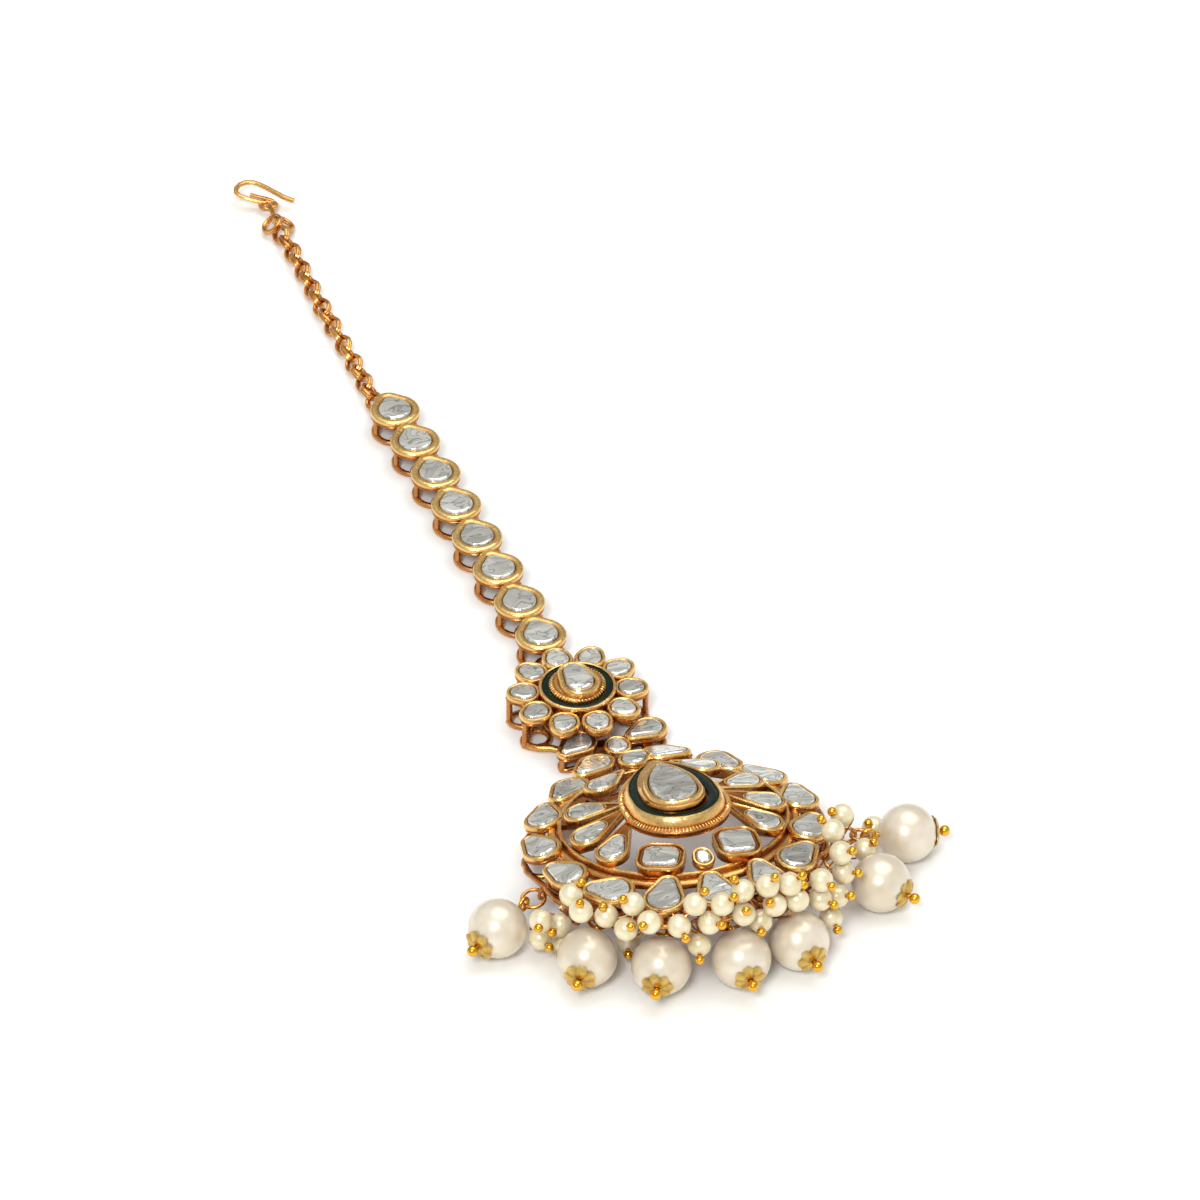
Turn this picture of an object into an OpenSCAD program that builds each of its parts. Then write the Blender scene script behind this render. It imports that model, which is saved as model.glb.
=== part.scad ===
// Maang tikka: a forehead jewel of polki stones in gold-finished brass, lying on a table.
// Y runs along the strap with the hook at +Y and the pearls at -Y, and Z is up.

/* [Medallion] */
// Radius of the double ring round the inner stones
ring_r = 15.2; // [15:0.1:15.4]
// Angle by which the front edge is lifted by the pearls under it
tilt = 11.6; // [11:0.1:12]
// Height of the medallion's face at its centre above the table
face_z = 8.8; // [8.7:0.1:9.2]
// Depth from the face of a setting to the bottom of the back gallery
gallery_depth = 3.9; // [3.6:0.1:3.9]

/* [Settings] */
// Thickness of the gold rim round a stone
rim = 0.6; // [0.5:0.05:0.65]
// Depth of the seat that a stone sits in
seat = 0.8; // [0.7:0.05:0.9]
// Height of a setting's cup
cup_h = 1.15; // [1.1:0.05:1.25]
// Space left round a stone
play = 0.08; // [0.06:0.01:0.1]
// Radius of the posts and wires of the back gallery
post_r = 0.42; // [0.38:0.01:0.45]

/* [Strap] */
// Height of a link from the table to its rim
link_h = 4.3; // [4.2:0.1:4.4]
// Distance between two links
link_pitch = 7.95; // [7.9:0.05:8.1]
// Angle by which the strap leans to the left of the Y axis
strap_lean = 5.4; // [5:0.1:5.8]
// Radius of the wire of the rings that join the links
join_wire = 0.25; // [0.22:0.01:0.27]

/* [Chain] */
// Length of one oval chain link over its wire
chain_len = 3.35; // [3.3:0.05:3.4]
// Width of one oval chain link over its wire
chain_w = 2.6; // [2.5:0.05:2.7]
// Radius of the chain's wire
chain_wire = 0.27; // [0.25:0.01:0.28]
// Radius of the hook's wire
hook_wire = 0.4; // [0.38:0.01:0.45]

/* [Pearls] */
// Diameter of a large pearl
pearl_d = 8; // [7.8:0.1:8]
// Diameter of a small pearl
seed_d = 3.2; // [3:0.1:3.2]
// Radius of the head pins through the large pearls
pin_r = 0.3; // [0.28:0.01:0.32]
// Radius of the head pins through the small pearls
seed_pin_r = 0.22; // [0.2:0.01:0.24]

/* [Hidden] */
link_count = 8;
chain_count = 22;
petal_count = 10;
round_fn = 48;
// How far a pear's straight sides lie inside its arcs, so that they cross the arcs cleanly
side_inset = 0.005;

// The origin lies under the middle of the whole jewel
origin_shift = [-2.29, -68.51, 0];

gold = [0.85, 0.62, 0.22];
dark_gold = [0.72, 0.45, 0.17];
stone_grey = [0.8, 0.8, 0.77];
enamel_green = [0.06, 0.19, 0.16];
ivory = [0.93, 0.88, 0.79];
cream = [0.95, 0.92, 0.8];

// A pear outline is [big radius, tip radius, distance between the two centres]
link_pear = [2.4, 0.75, 2.4];
// Width of a link's rim
link_rim = 1.1;
border_pear = [2.15, 0.75, 3.3];
petal_pear = [1.6, 1.3, 0.7];
leaf_pear = [1.75, 0.9, 2.4];
rosette_pear = [2, 1.5, 2.3];
crown_pear = [1.4, 1.3, 0.3];
oval_pear = [1.4, 0.9, 1.5];
tiny_pear = [1, 0.9, 0.5];
cushion_size = [4.6, 4.7, 1.3];
// A pointed arch is [radius of the round end, radius of the sides, radius of the tip, straight run]
tower_arch = [5.65, 10.5, 0.5, 1.4];
collet_arch = [4.3, 10.9, 0.4, 1.25];
centre_arch = [3.05, 8.5, 0.4, 0.8];

// Border stones of the right half: [across, along, direction of the tip]
border_half = [
    [7.2, -18.3, 99],
    [13.1, -14.2, 17],
    [17, -7.9, 54],
    [18.3, 0.5, 61],
    [15.6, 8.6, 100],
    [11, 14.6, -35],
    [5.1, 19.3, -25]
];
border_front = [0, -19.4, 90];
// Inner leaf stones of the right half: [across, along, direction of the tip, height, reach of the gold blade]
leaf_half = [
    [10.3, -7.1, 128, 1.6, 6.6],
    [12, -2.1, 155, 1.7, 6.9],
    [10.9, 3.8, 200, 1.8, 6],
    [6.6, 9.9, 145, 2.2, 4.6]
];
// Cushion stones: [across, along, turn, height]
cushion_rows = [
    [-5.3, -11.8, -25, 1.7],
    [5.3, -11.8, -2, 1.7]
];
tiny_row = [0, -14, 0, 1.4];
tiny_lean = 20;
oval_at = [0, 18.6, 0.2];
// Crown stones between the rosette and the medallion
crown_leaf_at = [[-5.7, 26.5, 180], [4.5, 26.7, 0]];
crown_round_at = [-0.5, 24.4, 90];
crown_z = 3.2;

// Heights of the centre tower over the face, and how far in front of the middle its round ends lie
tower_at = -3.2;
collet_at = -3.05;
centre_at = -3.75;
skirt_z = 1.9;
flange_z = 3;
channel_z = 4.5;
tower_z = 6.2;

rosette_at = [-3, 34.4];
rosette_z = 5.4;
petal_ring = 7.4;
// Petals whose wire and post reach the table: the others rest over the crown
standing_petals = [0, 1, 2, 3, 7, 8, 9];
strap_foot = [-2.6, 35.6];
petal_turn = 0;
join_z = 1.15;
first_link = 13.8;
link_foot = 2.95;
link_head = 2.85;
chain_lean = 2.6;
double_ring_r = 1.4;
hook_eye_r = 1.2;
hook_slope = 5;
hook_bend_r = 1.75;
hook_bend_at = [-1.1, 6];

// Large pearls: [x, y, direction of the pin]
pearl_rows = [
    [-27.1, -9.3, -146],
    [-17.5, -18.4, -122],
    [-8.7, -22.8, -115],
    [1.8, -24.4, -90],
    [10.2, -23.2, -80],
    [24.2, -15, -48],
    [30.8, -6.2, -4]
];
pin_dip = 6;
eye_r = 0.85;
eye_wire = 0.28;
ring_wire = 0.25;
pin_tail = 0.6;
seed_tail = 0.2;
eye_reach = 20.4;
eye_shift = 0.9;
// Directions round the medallion in which a bunch of small pearls hangs
bunch_dirs = [-148, -122, -97, -73, -46, -20];
bunch_drop = 2.7;

// Small pearls in the bunches on the left: [x, y, z, direction of the pin, its rise]
seed_left = [
    [-22.4, -13.6, 7.6, -115, 15],
    [-21.9, -11.6, 2.9, -75, 0],
    [-19.4, -12.4, 5.2, -135, 10],
    [-18.7, -12.1, 1.7, -120, -10],
    [-18.5, -14.4, 11.7, 5, 50],
    [-18.3, -18.2, 12, -115, 65],
    [-14.8, -18.1, 10.2, -140, 70],
    [-11.8, -20.2, 13.2, -160, 45],
    [-13, -21.1, 10, -85, 45],
    [-10.5, -23.2, 12.2, -130, 25],
    [-11, -15.3, 2.7, -105, -10],
    [-6.6, -23.9, 11.2, -85, -10],
    [-4.4, -23.7, 14.2, 0, 55],
    [-3.8, -23.8, 7.2, -105, -20],
    [-2.6, -24.4, 11.2, -60, 20]
];
// Small pearls in the bunches on the right
seed_right = [
    [-1, -24.7, 14.2, -35, 45],
    [2.1, -23.7, 14.9, 165, 60],
    [2, -24.6, 11.7, -95, 50],
    [5.4, -24, 15.2, -50, 60],
    [6.4, -24.1, 11.8, -130, 45],
    [4.8, -23.2, 8.7, -105, 0],
    [8.6, -23.6, 14.4, -25, 45],
    [9.8, -23.2, 11.1, 20, 65],
    [13.7, -21, 8.5, -55, 5],
    [13.7, -21.3, 12, -70, 10],
    [16.8, -19, 6.7, -50, 25],
    [15.9, -19.2, 3.4, -85, -10],
    [18.4, -16.6, 8.4, -45, 20],
    [17.9, -16.7, 12, -55, 35],
    [23.8, -9.3, 5.2, -45, 55],
    [18, -12.9, 12.7, 145, 45],
    [21.4, -6.7, 9.7, -160, 40],
    [27.7, -1.4, 1.9, -140, 50]
];

function turn(p, a) = [p[0] * cos(a) - p[1] * sin(a), p[0] * sin(a) + p[1] * cos(a)];
function mirrored(rows) = [for (r = rows) [-r[0], r[1], 180 - r[2], r[3], r[4]]];
border_rows = concat([border_front], border_half, mirrored(border_half));
leaf_rows = concat(leaf_half, mirrored(leaf_half));
function on_strap(s) = strap_foot + turn([0, s], strap_lean);
function link_at(i) = on_strap(first_link + (link_count - i) * link_pitch);
function pear_reach(p) = (p[0] + p[1] + p[2]) / 2;
function tip_post(p, row) = [row[0], row[1]] + (pear_reach(p) + 0.1) * [cos(row[2]), sin(row[2])];
function petal_post(i) =
    rosette_at + turn([0, petal_ring + pear_reach(petal_pear) + 0.1], strap_lean + petal_turn + i * 36);
function head_post(i) = link_at(i) + turn([0, link_head], strap_lean);
function foot_post(i) = link_at(i) - turn([0, link_foot], strap_lean);
chain_start = link_at(1) + turn([-0.4, link_head + 1.8], strap_lean);
chain_run = (chain_count - 1) * (chain_len - 4 * chain_wire - 0.12) + chain_len - 2 * chain_wire;

// Outline of a pear with a flat-sided run between its two arcs, tip towards +Y
module pear(p, grow = 0) {
    a = asin((p[0] - p[1]) / p[2]);
    low = p[0] + grow - side_inset;
    high = p[1] + grow - side_inset;
    circle(r = p[0] + grow, $fn = round_fn);
    translate([0, p[2]]) circle(r = p[1] + grow, $fn = round_fn);
    polygon([
        [low * cos(a), low * sin(a)],
        [high * cos(a), p[2] + high * sin(a)],
        [-high * cos(a), p[2] + high * sin(a)],
        [-low * cos(a), low * sin(a)]
    ]);
}

function pear_middle(p) = (p[2] + p[1] - p[0]) / 2;

// The same outline as points, for a cut stone
function pear_points(p, shrink) =
    let (a = asin((p[0] - p[1]) / p[2]), low = 8, high = 3)
    concat(
        [for (i = [0:low]) let (t = 180 - a + i * (180 + 2 * a) / low)
            [(p[0] - shrink) * cos(t), (p[0] - shrink) * sin(t)]],
        [for (i = [0:high]) let (t = a + i * (180 - 2 * a) / high)
            [(p[1] - shrink) * cos(t), p[2] + (p[1] - shrink) * sin(t)]]
    );

// Solid through rings of points that all have the same count
module lofted(rings) {
    n = len(rings[0]);
    top = len(rings) - 1;
    polyhedron(
        points = [for (r = rings) each r],
        faces = concat(
            [[for (i = [0:n - 1]) i]],
            [for (k = [0:top - 1]) for (i = [0:n - 1])
                [k * n + i, (k + 1) * n + i, (k + 1) * n + (i + 1) % n, k * n + (i + 1) % n]],
            [[for (i = [n - 1:-1:0]) top * n + i]]
        )
    );
}

function raised(flat, mid, scale, z) =
    [for (q = flat) [mid[0] + (q[0] - mid[0]) * scale, mid[1] + (q[1] - mid[1]) * scale, z]];

// Polki stone: a girdle, a ring of facets and a flat table
module cut_stone(flat, mid, girdle = 0.52, crown = 0.5, table = 0.62) {
    lofted([
        raised(flat, mid, 0.93, 0),
        raised(flat, mid, 1, 0.25),
        raised(flat, mid, 1, girdle),
        raised(flat, mid, table, girdle + crown)
    ]);
}

module pear_stone(p, girdle = 0.52, crown = 0.5) {
    cut_stone(pear_points(p, play), [0, pear_middle(p)], girdle, crown);
}

// Cup for a pear stone with its rim at z = 0
module pear_cup(p, wall = rim, tall = cup_h) {
    difference() {
        translate([0, 0, -tall]) linear_extrude(tall) pear(p, wall);
        translate([0, 0, -seat]) linear_extrude(seat + 1) pear(p);
    }
}

// Wire frame of the same outline, its underside at z = -depth
module pear_gallery(p, depth, wall = rim) {
    translate([0, 0, -depth]) linear_extrude(2 * post_r) difference() {
        pear(p, wall - 0.05);
        pear(p, wall - 0.05 - 2 * post_r);
    }
}

// Height of the tip arc's centre over the centres of the side arcs
function arch_tip(s) = sqrt(pow(s[1] - s[2], 2) - pow(s[1] - s[0], 2));

// Outline of a pointed arch with its round end's centre at the origin, tip towards +Y
module arch(s, grow = 0) {
    half = s[0] + grow;
    side = s[1] + grow;
    top = side * arch_tip(s) / (s[1] - s[2]);
    circle(r = half, $fn = round_fn);
    translate([side_inset - half, 0]) square([2 * (half - side_inset), s[3] + 0.2]);
    translate([0, s[3]]) {
        intersection() {
            translate([s[0] - s[1], 0]) circle(r = side, $fn = round_fn);
            translate([s[1] - s[0], 0]) circle(r = side, $fn = round_fn);
            translate([-half, -1]) square([2 * half, top + 1.05]);
        }
        translate([0, arch_tip(s)]) circle(r = s[2] + grow, $fn = round_fn);
    }
}

// The same outline as points, for the centre stone
function arch_points(s, shrink) =
    let (side = s[1] - shrink, off = s[1] - s[0], last = atan2(arch_tip(s), off))
    concat(
        [for (i = [0:8]) (s[0] - shrink) * [cos(180 + i * 22.5), sin(180 + i * 22.5)]],
        [for (i = [1:3]) [side * cos(i * last / 3) - off, s[3] + side * sin(i * last / 3)]],
        [for (i = [3:-1:1]) [off - side * cos(i * last / 3), s[3] + side * sin(i * last / 3)]]
    );

// Puts a pear with its middle at [x, y] and its tip in direction a
module aimed(p, x, y, a) {
    translate([x, y, 0]) rotate(a - 90) translate([0, -pear_middle(p), 0]) children();
}

module post(x, y, top, bottom) {
    translate([x, y, bottom]) cylinder(r = post_r, h = top - bottom, $fn = 24);
}

module cushion(size, grow = 0) {
    w = size[0] / 2;
    l = size[1] / 2;
    c = size[2];
    square([2 * (w + grow), 2 * (l - c)], center = true);
    square([2 * (w - c), 2 * (l + grow)], center = true);
    for (sx = [-1, 1], sy = [-1, 1])
        translate([sx * (w - c), sy * (l - c)]) circle(r = c + grow, $fn = round_fn);
}

function cushion_points(size, shrink) =
    let (w = size[0] / 2, l = size[1] / 2, c = size[2])
    [for (q = [0:3]) for (i = [0:2])
        let (t = q * 90 + i * 45, sx = q == 0 || q == 3 ? 1 : -1, sy = q < 2 ? 1 : -1)
        [sx * (w - c) + (c - shrink) * cos(t), sy * (l - c) + (c - shrink) * sin(t)]];

module torus(r, wire) {
    rotate_extrude($fn = round_fn) translate([r, 0]) circle(r = wire, $fn = 24);
}

// Oval link from z = 0 to z = len at the middle of its wire, its width along Y
module oval_link(len, half, wire) {
    for (end = [0, 1])
        translate([0, 0, end == 0 ? half : len - half])
            rotate([0, 90, 0]) rotate(end == 0 ? -90 : 90)
                rotate_extrude(angle = 180, $fn = round_fn) translate([half, 0]) circle(r = wire, $fn = 24);
    for (side = [-1, 1])
        translate([0, side * half, half]) cylinder(r = wire, h = len - 2 * half, $fn = 24);
}

// Puts +Z along the line from p to q, with X over the direction a
module aligned(p, q, a) {
    v = q - p;
    w = turn(v, -a);
    translate(p) rotate(a) rotate([0, atan2(w[0], v[2]), 0])
        rotate([-asin(w[1] / norm(v)), 0, 0]) children();
}

function ring_count(p, q) = norm(q - p) > 4.4 ? 3 : 1;

// Interlocking jump rings from p to q, a quarter turn between one and the next
module jump_rings(p, q, a) {
    n = ring_count(p, q);
    overlap = 2.4 * ring_wire;
    r = (norm(q - p) + (n - 1) * overlap) / (2 * n);
    aligned(p, q, a) for (k = [0:n - 1])
        translate([0, 0, r + k * (2 * r - overlap)]) rotate([k * 90, 90, 0]) torus(r, ring_wire);
}

// Round wire of a given radius along a flat path
module flat_wire(path, wire, sides = 10) {
    n = len(path);
    lofted([for (i = [0:n - 1])
        let (a = path[max(i - 1, 0)], b = path[min(i + 1, n - 1)], d = (b - a) / norm(b - a))
        [for (k = [0:sides - 1]) let (t = 360 * k / sides)
            [path[i][0] - wire * cos(t) * d[1], path[i][1] + wire * cos(t) * d[0], wire * sin(t)]]]);
}

module on_face() {
    translate([0, 0, face_z]) rotate([-tilt, 0, 0]) children();
}

function face_to_world(u, v, h) =
    [u, v * cos(tilt) + h * sin(tilt), face_z - v * sin(tilt) + h * cos(tilt)];

function along_chain(d) = chain_start + turn([0, d], chain_lean);

// Bent wire hook, lying on the table with its eye held up by the rings
module hair_hook() {
    at = along_chain(chain_run + 2 * double_ring_r - 3 * chain_wire - 2 * hook_wire + hook_eye_r - 0.4);
    path = concat(
        [[0.1, hook_eye_r], [-0.4, 2.4], [-1.5, 3.8]],
        [for (t = [215:-22:60]) hook_bend_at + hook_bend_r * [cos(t), sin(t)]],
        [[1.1, 6.9], [2.4, 5.5], [3.4, 3.9], [4.3, 2]]
    );
    color(gold) translate([at[0], at[1], 1.08]) rotate([-hook_slope, 0, 0]) {
        torus(hook_eye_r, hook_wire * 0.9);
        flat_wire(path, hook_wire);
    }
}

// Oval links turned a quarter turn each, and the double ring that the hook's eye hangs in
module hook_chain() {
    step = chain_len - 4 * chain_wire - 0.12;
    color(gold) {
        for (i = [0:chain_count - 1])
            translate([chain_start[0], chain_start[1], chain_w / 2])
                rotate([-90, 0, chain_lean]) rotate(i * 90 + 24)
                    translate([0, 0, i * step])
                        oval_link(chain_len - 2 * chain_wire, chain_w / 2 - chain_wire, chain_wire);
        at = along_chain(chain_run + double_ring_r - 2 * chain_wire - 0.54);
        for (side = [-1, 1])
            translate([at[0] + side * 0.31, at[1], double_ring_r + chain_wire])
                rotate(chain_lean) rotate([0, 90 + side * 4, 0]) torus(double_ring_r, chain_wire);
    }
}

module link_place(i) {
    at = link_at(i);
    translate([at[0], at[1], link_h]) rotate(strap_lean) children();
}

module link_setting(i) {
    mid = pear_middle(link_pear);
    color(gold) link_place(i) {
        translate([0, -mid, 0]) {
            pear_cup(link_pear, link_rim, cup_h);
            pear_gallery(link_pear, link_h, link_rim);
        }
        post(0, -link_foot, -cup_h + 0.2, -link_h);
        post(0, link_head, -cup_h + 0.2, -link_h);
        for (side = [-1, 1]) post(side * (link_pear[0] + 0.45), -mid, -cup_h + 0.2, -link_h);
    }
}

module link_stone(i) {
    color(stone_grey) link_place(i)
        translate([0, -pear_middle(link_pear), play - seat]) pear_stone(link_pear);
}

// Flat ring round two posts
module post_ring(p, q) {
    mid = (p + q) / 2;
    translate([mid[0], mid[1], join_z]) torus(norm(p - q) / 2 + post_r + join_wire + 0.1, join_wire);
}

// Rings that join the chain, the links, the rosette and the crown
module join_rings() {
    color(dark_gold) {
        for (i = [1:link_count - 1])
            post_ring(foot_post(i), head_post(i + 1));
        post_ring(foot_post(link_count), petal_post(0));
        post_ring(petal_post(3), tip_post(border_pear, crown_leaf_at[0]));
        post_ring(head_post(1), chain_start + turn([0, 2 * chain_wire - post_r], chain_lean));
    }
}

module rosette_place() {
    translate([rosette_at[0], rosette_at[1], rosette_z]) rotate(strap_lean) children();
}

module at_petals(which = [0:petal_count - 1]) {
    for (i = which)
        rotate(i * 360 / petal_count + petal_turn) translate([0, petal_ring, 0]) children();
}

module rosette_frame() {
    color(gold) rosette_place() {
        at_petals() translate([0, -pear_middle(petal_pear), 0]) pear_cup(petal_pear, rim - 0.05, cup_h);
        at_petals(standing_petals) {
            translate([0, -pear_middle(petal_pear), 0]) pear_gallery(petal_pear, rosette_z, rim);
            post(0, pear_reach(petal_pear) + 0.1, -cup_h + 0.2, -rosette_z);
        }
        difference() {
            union() {
                translate([0, 0, -1.8]) cylinder(r = 5.3, h = 2.4, $fn = round_fn);
                cylinder(r = 3.75, h = 1.2, $fn = round_fn);
                translate([0, -pear_middle(rosette_pear), 1.1]) linear_extrude(0.9) pear(rosette_pear, 0.7);
            }
            difference() {
                translate([0, 0, 0.1]) cylinder(r = 4.85, h = 2, $fn = round_fn);
                cylinder(r = 3.75, h = 3, $fn = round_fn);
            }
            translate([0, -pear_middle(rosette_pear), 1]) linear_extrude(3) pear(rosette_pear);
        }
        translate([0, 0, -rosette_z]) linear_extrude(2 * post_r) difference() {
            circle(r = 5.2, $fn = round_fn);
            circle(r = 4.3, $fn = round_fn);
        }
    }
}

module rosette_enamel() {
    color(enamel_green) rosette_place() translate([0, 0, 0.15]) difference() {
        cylinder(r = 4.8, h = 0.4, $fn = round_fn);
        translate([0, 0, -1]) cylinder(r = 3.8, h = 3, $fn = round_fn);
    }
}

module rosette_stone() {
    color(stone_grey) rosette_place()
        translate([0, -pear_middle(rosette_pear), 1.05]) pear_stone(rosette_pear, 0.8, 0.7);
}

module rosette_petal_stones() {
    color(stone_grey) rosette_place() at_petals()
        translate([0, -pear_middle(petal_pear), play - seat]) pear_stone(petal_pear);
}

// Outlines of the centre tower, from the outside in
module tower_outline(grow) {
    translate([0, tower_at]) arch(tower_arch, grow);
}

module collet_outline(grow) {
    translate([0, collet_at]) arch(collet_arch, grow);
}

module centre_outline(grow) {
    translate([0, centre_at]) arch(centre_arch, grow);
}

// Tilts a setting outwards so that the inner field is slightly domed
module leaned(row, lean = 10) {
    translate([row[0], row[1], row[3]]) rotate(atan2(row[1], row[0])) rotate([0, lean, 0])
        rotate(-atan2(row[1], row[0])) children();
}

// Leaf cup on a gold blade that runs to the tower
module leaf_setting(row) {
    leaned(row) aimed(leaf_pear, 0, 0, row[2]) difference() {
        translate([0, 0, -cup_h]) {
            linear_extrude(cup_h) pear(leaf_pear, rim);
            linear_extrude(cup_h - 0.15) pear([leaf_pear[0] + 0.55, 0.3, row[4]]);
        }
        translate([0, 0, -seat]) linear_extrude(seat + 1) pear(leaf_pear);
    }
}

module inner_field() {
    for (row = leaf_rows) leaf_setting(row);
    for (row = cushion_rows) leaned(row) rotate(row[2]) difference() {
        translate([0, 0, -cup_h - 0.35]) linear_extrude(cup_h + 0.35) cushion(cushion_size, rim + 0.2);
        translate([0, 0, -seat]) linear_extrude(seat + 1) cushion(cushion_size);
    }
    leaned(tiny_row, tiny_lean) pear_cup(tiny_pear, 0.5, cup_h);
    // Bearers under the outer ends of the leaves
    for (row = leaf_rows) rotate(atan2(row[1], row[0])) {
        translate([12, -0.6, -0.9]) cube([ring_r - 12, 1.2, 0.9]);
        translate([12.4, -0.6, -0.5]) cube([1, 1.2, row[3] - 0.68]);
    }
    translate([oval_at[0], oval_at[1], oval_at[2]]) rotate(-20) pear_cup(oval_pear, 0.5, cup_h);
}

module centre_tower() {
    difference() {
        union() {
            translate([0, 0, skirt_z]) linear_extrude(1.7) tower_outline(1.3);
            translate([0, 0, flange_z]) linear_extrude(0.6) tower_outline(1.5);
            translate([0, 0, 3.5]) linear_extrude(0.8) tower_outline(0.75);
            translate([0, 0, 4.2]) linear_extrude(0.8) tower_outline(0.45);
            translate([0, 0, 4.4]) linear_extrude(0.9) collet_outline(0);
            translate([0, 0, 5.2]) linear_extrude(tower_z - 5.2) centre_outline(0.8);
        }
        translate([0, 0, channel_z]) linear_extrude(0.6) difference() {
            tower_outline(0);
            collet_outline(0);
        }
        translate([0, 0, tower_z - seat]) linear_extrude(2) centre_outline(0);
        translate([0, 0, skirt_z - 1]) linear_extrude(2.2) tower_outline(0.5);
    }
}

module border_outlines(grow = 0) {
    for (row = border_rows) aimed(border_pear, row[0], row[1], row[2]) pear(border_pear, grow);
}

module band(outer, inner) {
    difference() {
        circle(r = outer, $fn = 96);
        circle(r = inner, $fn = 96);
    }
}

// Border settings, the double ring they are soldered to, and the gallery of wire behind them
module medallion_border() {
    wire = 2 * post_r;
    difference() {
        union() {
            translate([0, 0, -cup_h]) linear_extrude(cup_h) border_outlines(rim);
            translate([0, 0, -1.5]) linear_extrude(0.9) band(ring_r + 1.6, ring_r - 0.2);
        }
        translate([0, 0, -seat]) linear_extrude(seat + 1) border_outlines();
    }
    translate([0, 0, -1.1]) linear_extrude(1.2) band(ring_r + 0.3, ring_r - 0.35);
    translate([0, 0, -gallery_depth]) linear_extrude(wire) {
        difference() {
            border_outlines(rim - 0.05);
            border_outlines(rim - 0.05 - wire);
        }
        band(ring_r + 1.1, ring_r + 0.2);
        intersection() {
            translate([0, eye_shift]) band(eye_reach + 0.45, eye_reach - 0.45);
            translate([-30, -30]) square([60, 32]);
        }
    }
    for (row = border_rows) aimed(border_pear, row[0], row[1], row[2]) {
        post(0, -border_pear[0] - 0.1, -cup_h + 0.2, -gallery_depth + 0.2);
        post(0, border_pear[2] + border_pear[1] + 0.1, -cup_h + 0.2, -gallery_depth + 0.2);
    }
    for (a = [12:24:348]) rotate(a) post(ring_r + 0.65, 0, -1.3, -gallery_depth + 0.2);
}

// Eyes under the edge that the pearls and bunches hang from
function pin_dir(row) = [cos(pin_dip) * cos(row[2]), cos(pin_dip) * sin(row[2]), -sin(pin_dip)];
function pearl_at(row) = [row[0], row[1], pearl_d / 2];
function pin_loop(row) = pearl_at(row) - (pearl_d / 2 + pin_tail + eye_r) * pin_dir(row);
function edge_eye(a) =
    face_to_world(eye_reach * cos(a), eye_reach * sin(a) + eye_shift, -gallery_depth - eye_r + 0.1);
function heading(p) = atan2(p[1], p[0]);
function pearl_eye(row) = edge_eye(heading(pin_loop(row)));

module upright_eye(p, a) {
    translate(p) rotate(a) rotate([90, 0, 0]) torus(eye_r, eye_wire);
}

module medallion_eyes() {
    for (row = pearl_rows) upright_eye(pearl_eye(row), row[2]);
    for (a = bunch_dirs) upright_eye(edge_eye(a), a);
}

module crown() {
    translate([0, 0, crown_z]) {
        for (row = crown_leaf_at) aimed(border_pear, row[0], row[1], row[2]) {
            pear_cup(border_pear, rim, cup_h);
            pear_gallery(border_pear, crown_z);
            post(0, -border_pear[0] - 0.1, -cup_h + 0.2, -crown_z);
            post(0, border_pear[2] + border_pear[1] + 0.1, -cup_h + 0.2, -crown_z);
        }
        aimed(crown_pear, crown_round_at[0], crown_round_at[1], crown_round_at[2])
            pear_cup(crown_pear, 0.5, cup_h);
        // Bearer bar under the three crown settings and the two top border settings
        translate([-0.5, 25.9, -2.1]) linear_extrude(1.2) {
            square([9.5, 1.6], center = true);
            for (side = [-1, 1]) translate([side * 4.3, -3.4]) square([1.3, 5.4], center = true);
            translate([0, -4.2]) square([1.3, 7], center = true);
        }
    }
}

module medallion_frame() {
    color(gold) {
        on_face() {
            inner_field();
            centre_tower();
            medallion_border();
        }
        crown();
        medallion_eyes();
    }
}

module medallion_enamel() {
    color(enamel_green) on_face() translate([0, 0, channel_z + 0.05]) linear_extrude(0.4) difference() {
        tower_outline(-0.05);
        collet_outline(0.05);
    }
}

module centre_stone() {
    color(stone_grey) on_face() translate([0, centre_at, tower_z - seat + play])
        cut_stone(arch_points(centre_arch, play), [0, 1.5], 0.6, 0.6);
}

module border_stone(i) {
    row = border_rows[i - 1];
    color(stone_grey) on_face() aimed(border_pear, row[0], row[1], row[2])
        translate([0, 0, play - seat]) pear_stone(border_pear);
}

module leaf_stones() {
    color(stone_grey) on_face() {
        for (row = leaf_rows) leaned(row) aimed(leaf_pear, 0, 0, row[2])
            translate([0, 0, play - seat]) pear_stone(leaf_pear);
        for (row = cushion_rows) leaned(row) rotate(row[2]) translate([0, 0, play - seat])
            cut_stone(cushion_points(cushion_size, play), [0, 0], 0.52, 0.5, 0.68);
        leaned(tiny_row, tiny_lean) translate([0, 0, play - seat]) pear_stone(tiny_pear);
        translate([oval_at[0], oval_at[1], oval_at[2] + play - seat]) rotate(-20) pear_stone(oval_pear);
    }
}

module crown_stones() {
    color(stone_grey) translate([0, 0, crown_z + play - seat]) {
        for (row = crown_leaf_at) aimed(border_pear, row[0], row[1], row[2]) pear_stone(border_pear);
        aimed(crown_pear, crown_round_at[0], crown_round_at[1], crown_round_at[2]) pear_stone(crown_pear);
    }
}

// Turns +X to the direction of a head pin
module along_pin(p, d) {
    translate(p) rotate([0, -asin(d[2]), atan2(d[1], d[0])]) children();
}

// Drilled bead, its hole along X
module bead(d, hole) {
    rotate([0, 90, 0]) rotate_extrude($fn = round_fn) difference() {
        circle(d = d, $fn = round_fn);
        translate([hole - d, -d]) square([d, 2 * d]);
    }
}

module pearl(i) {
    row = pearl_rows[i - 1];
    color(ivory) along_pin(pearl_at(row), pin_dir(row)) bead(pearl_d, pin_r + 0.1);
}

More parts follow.
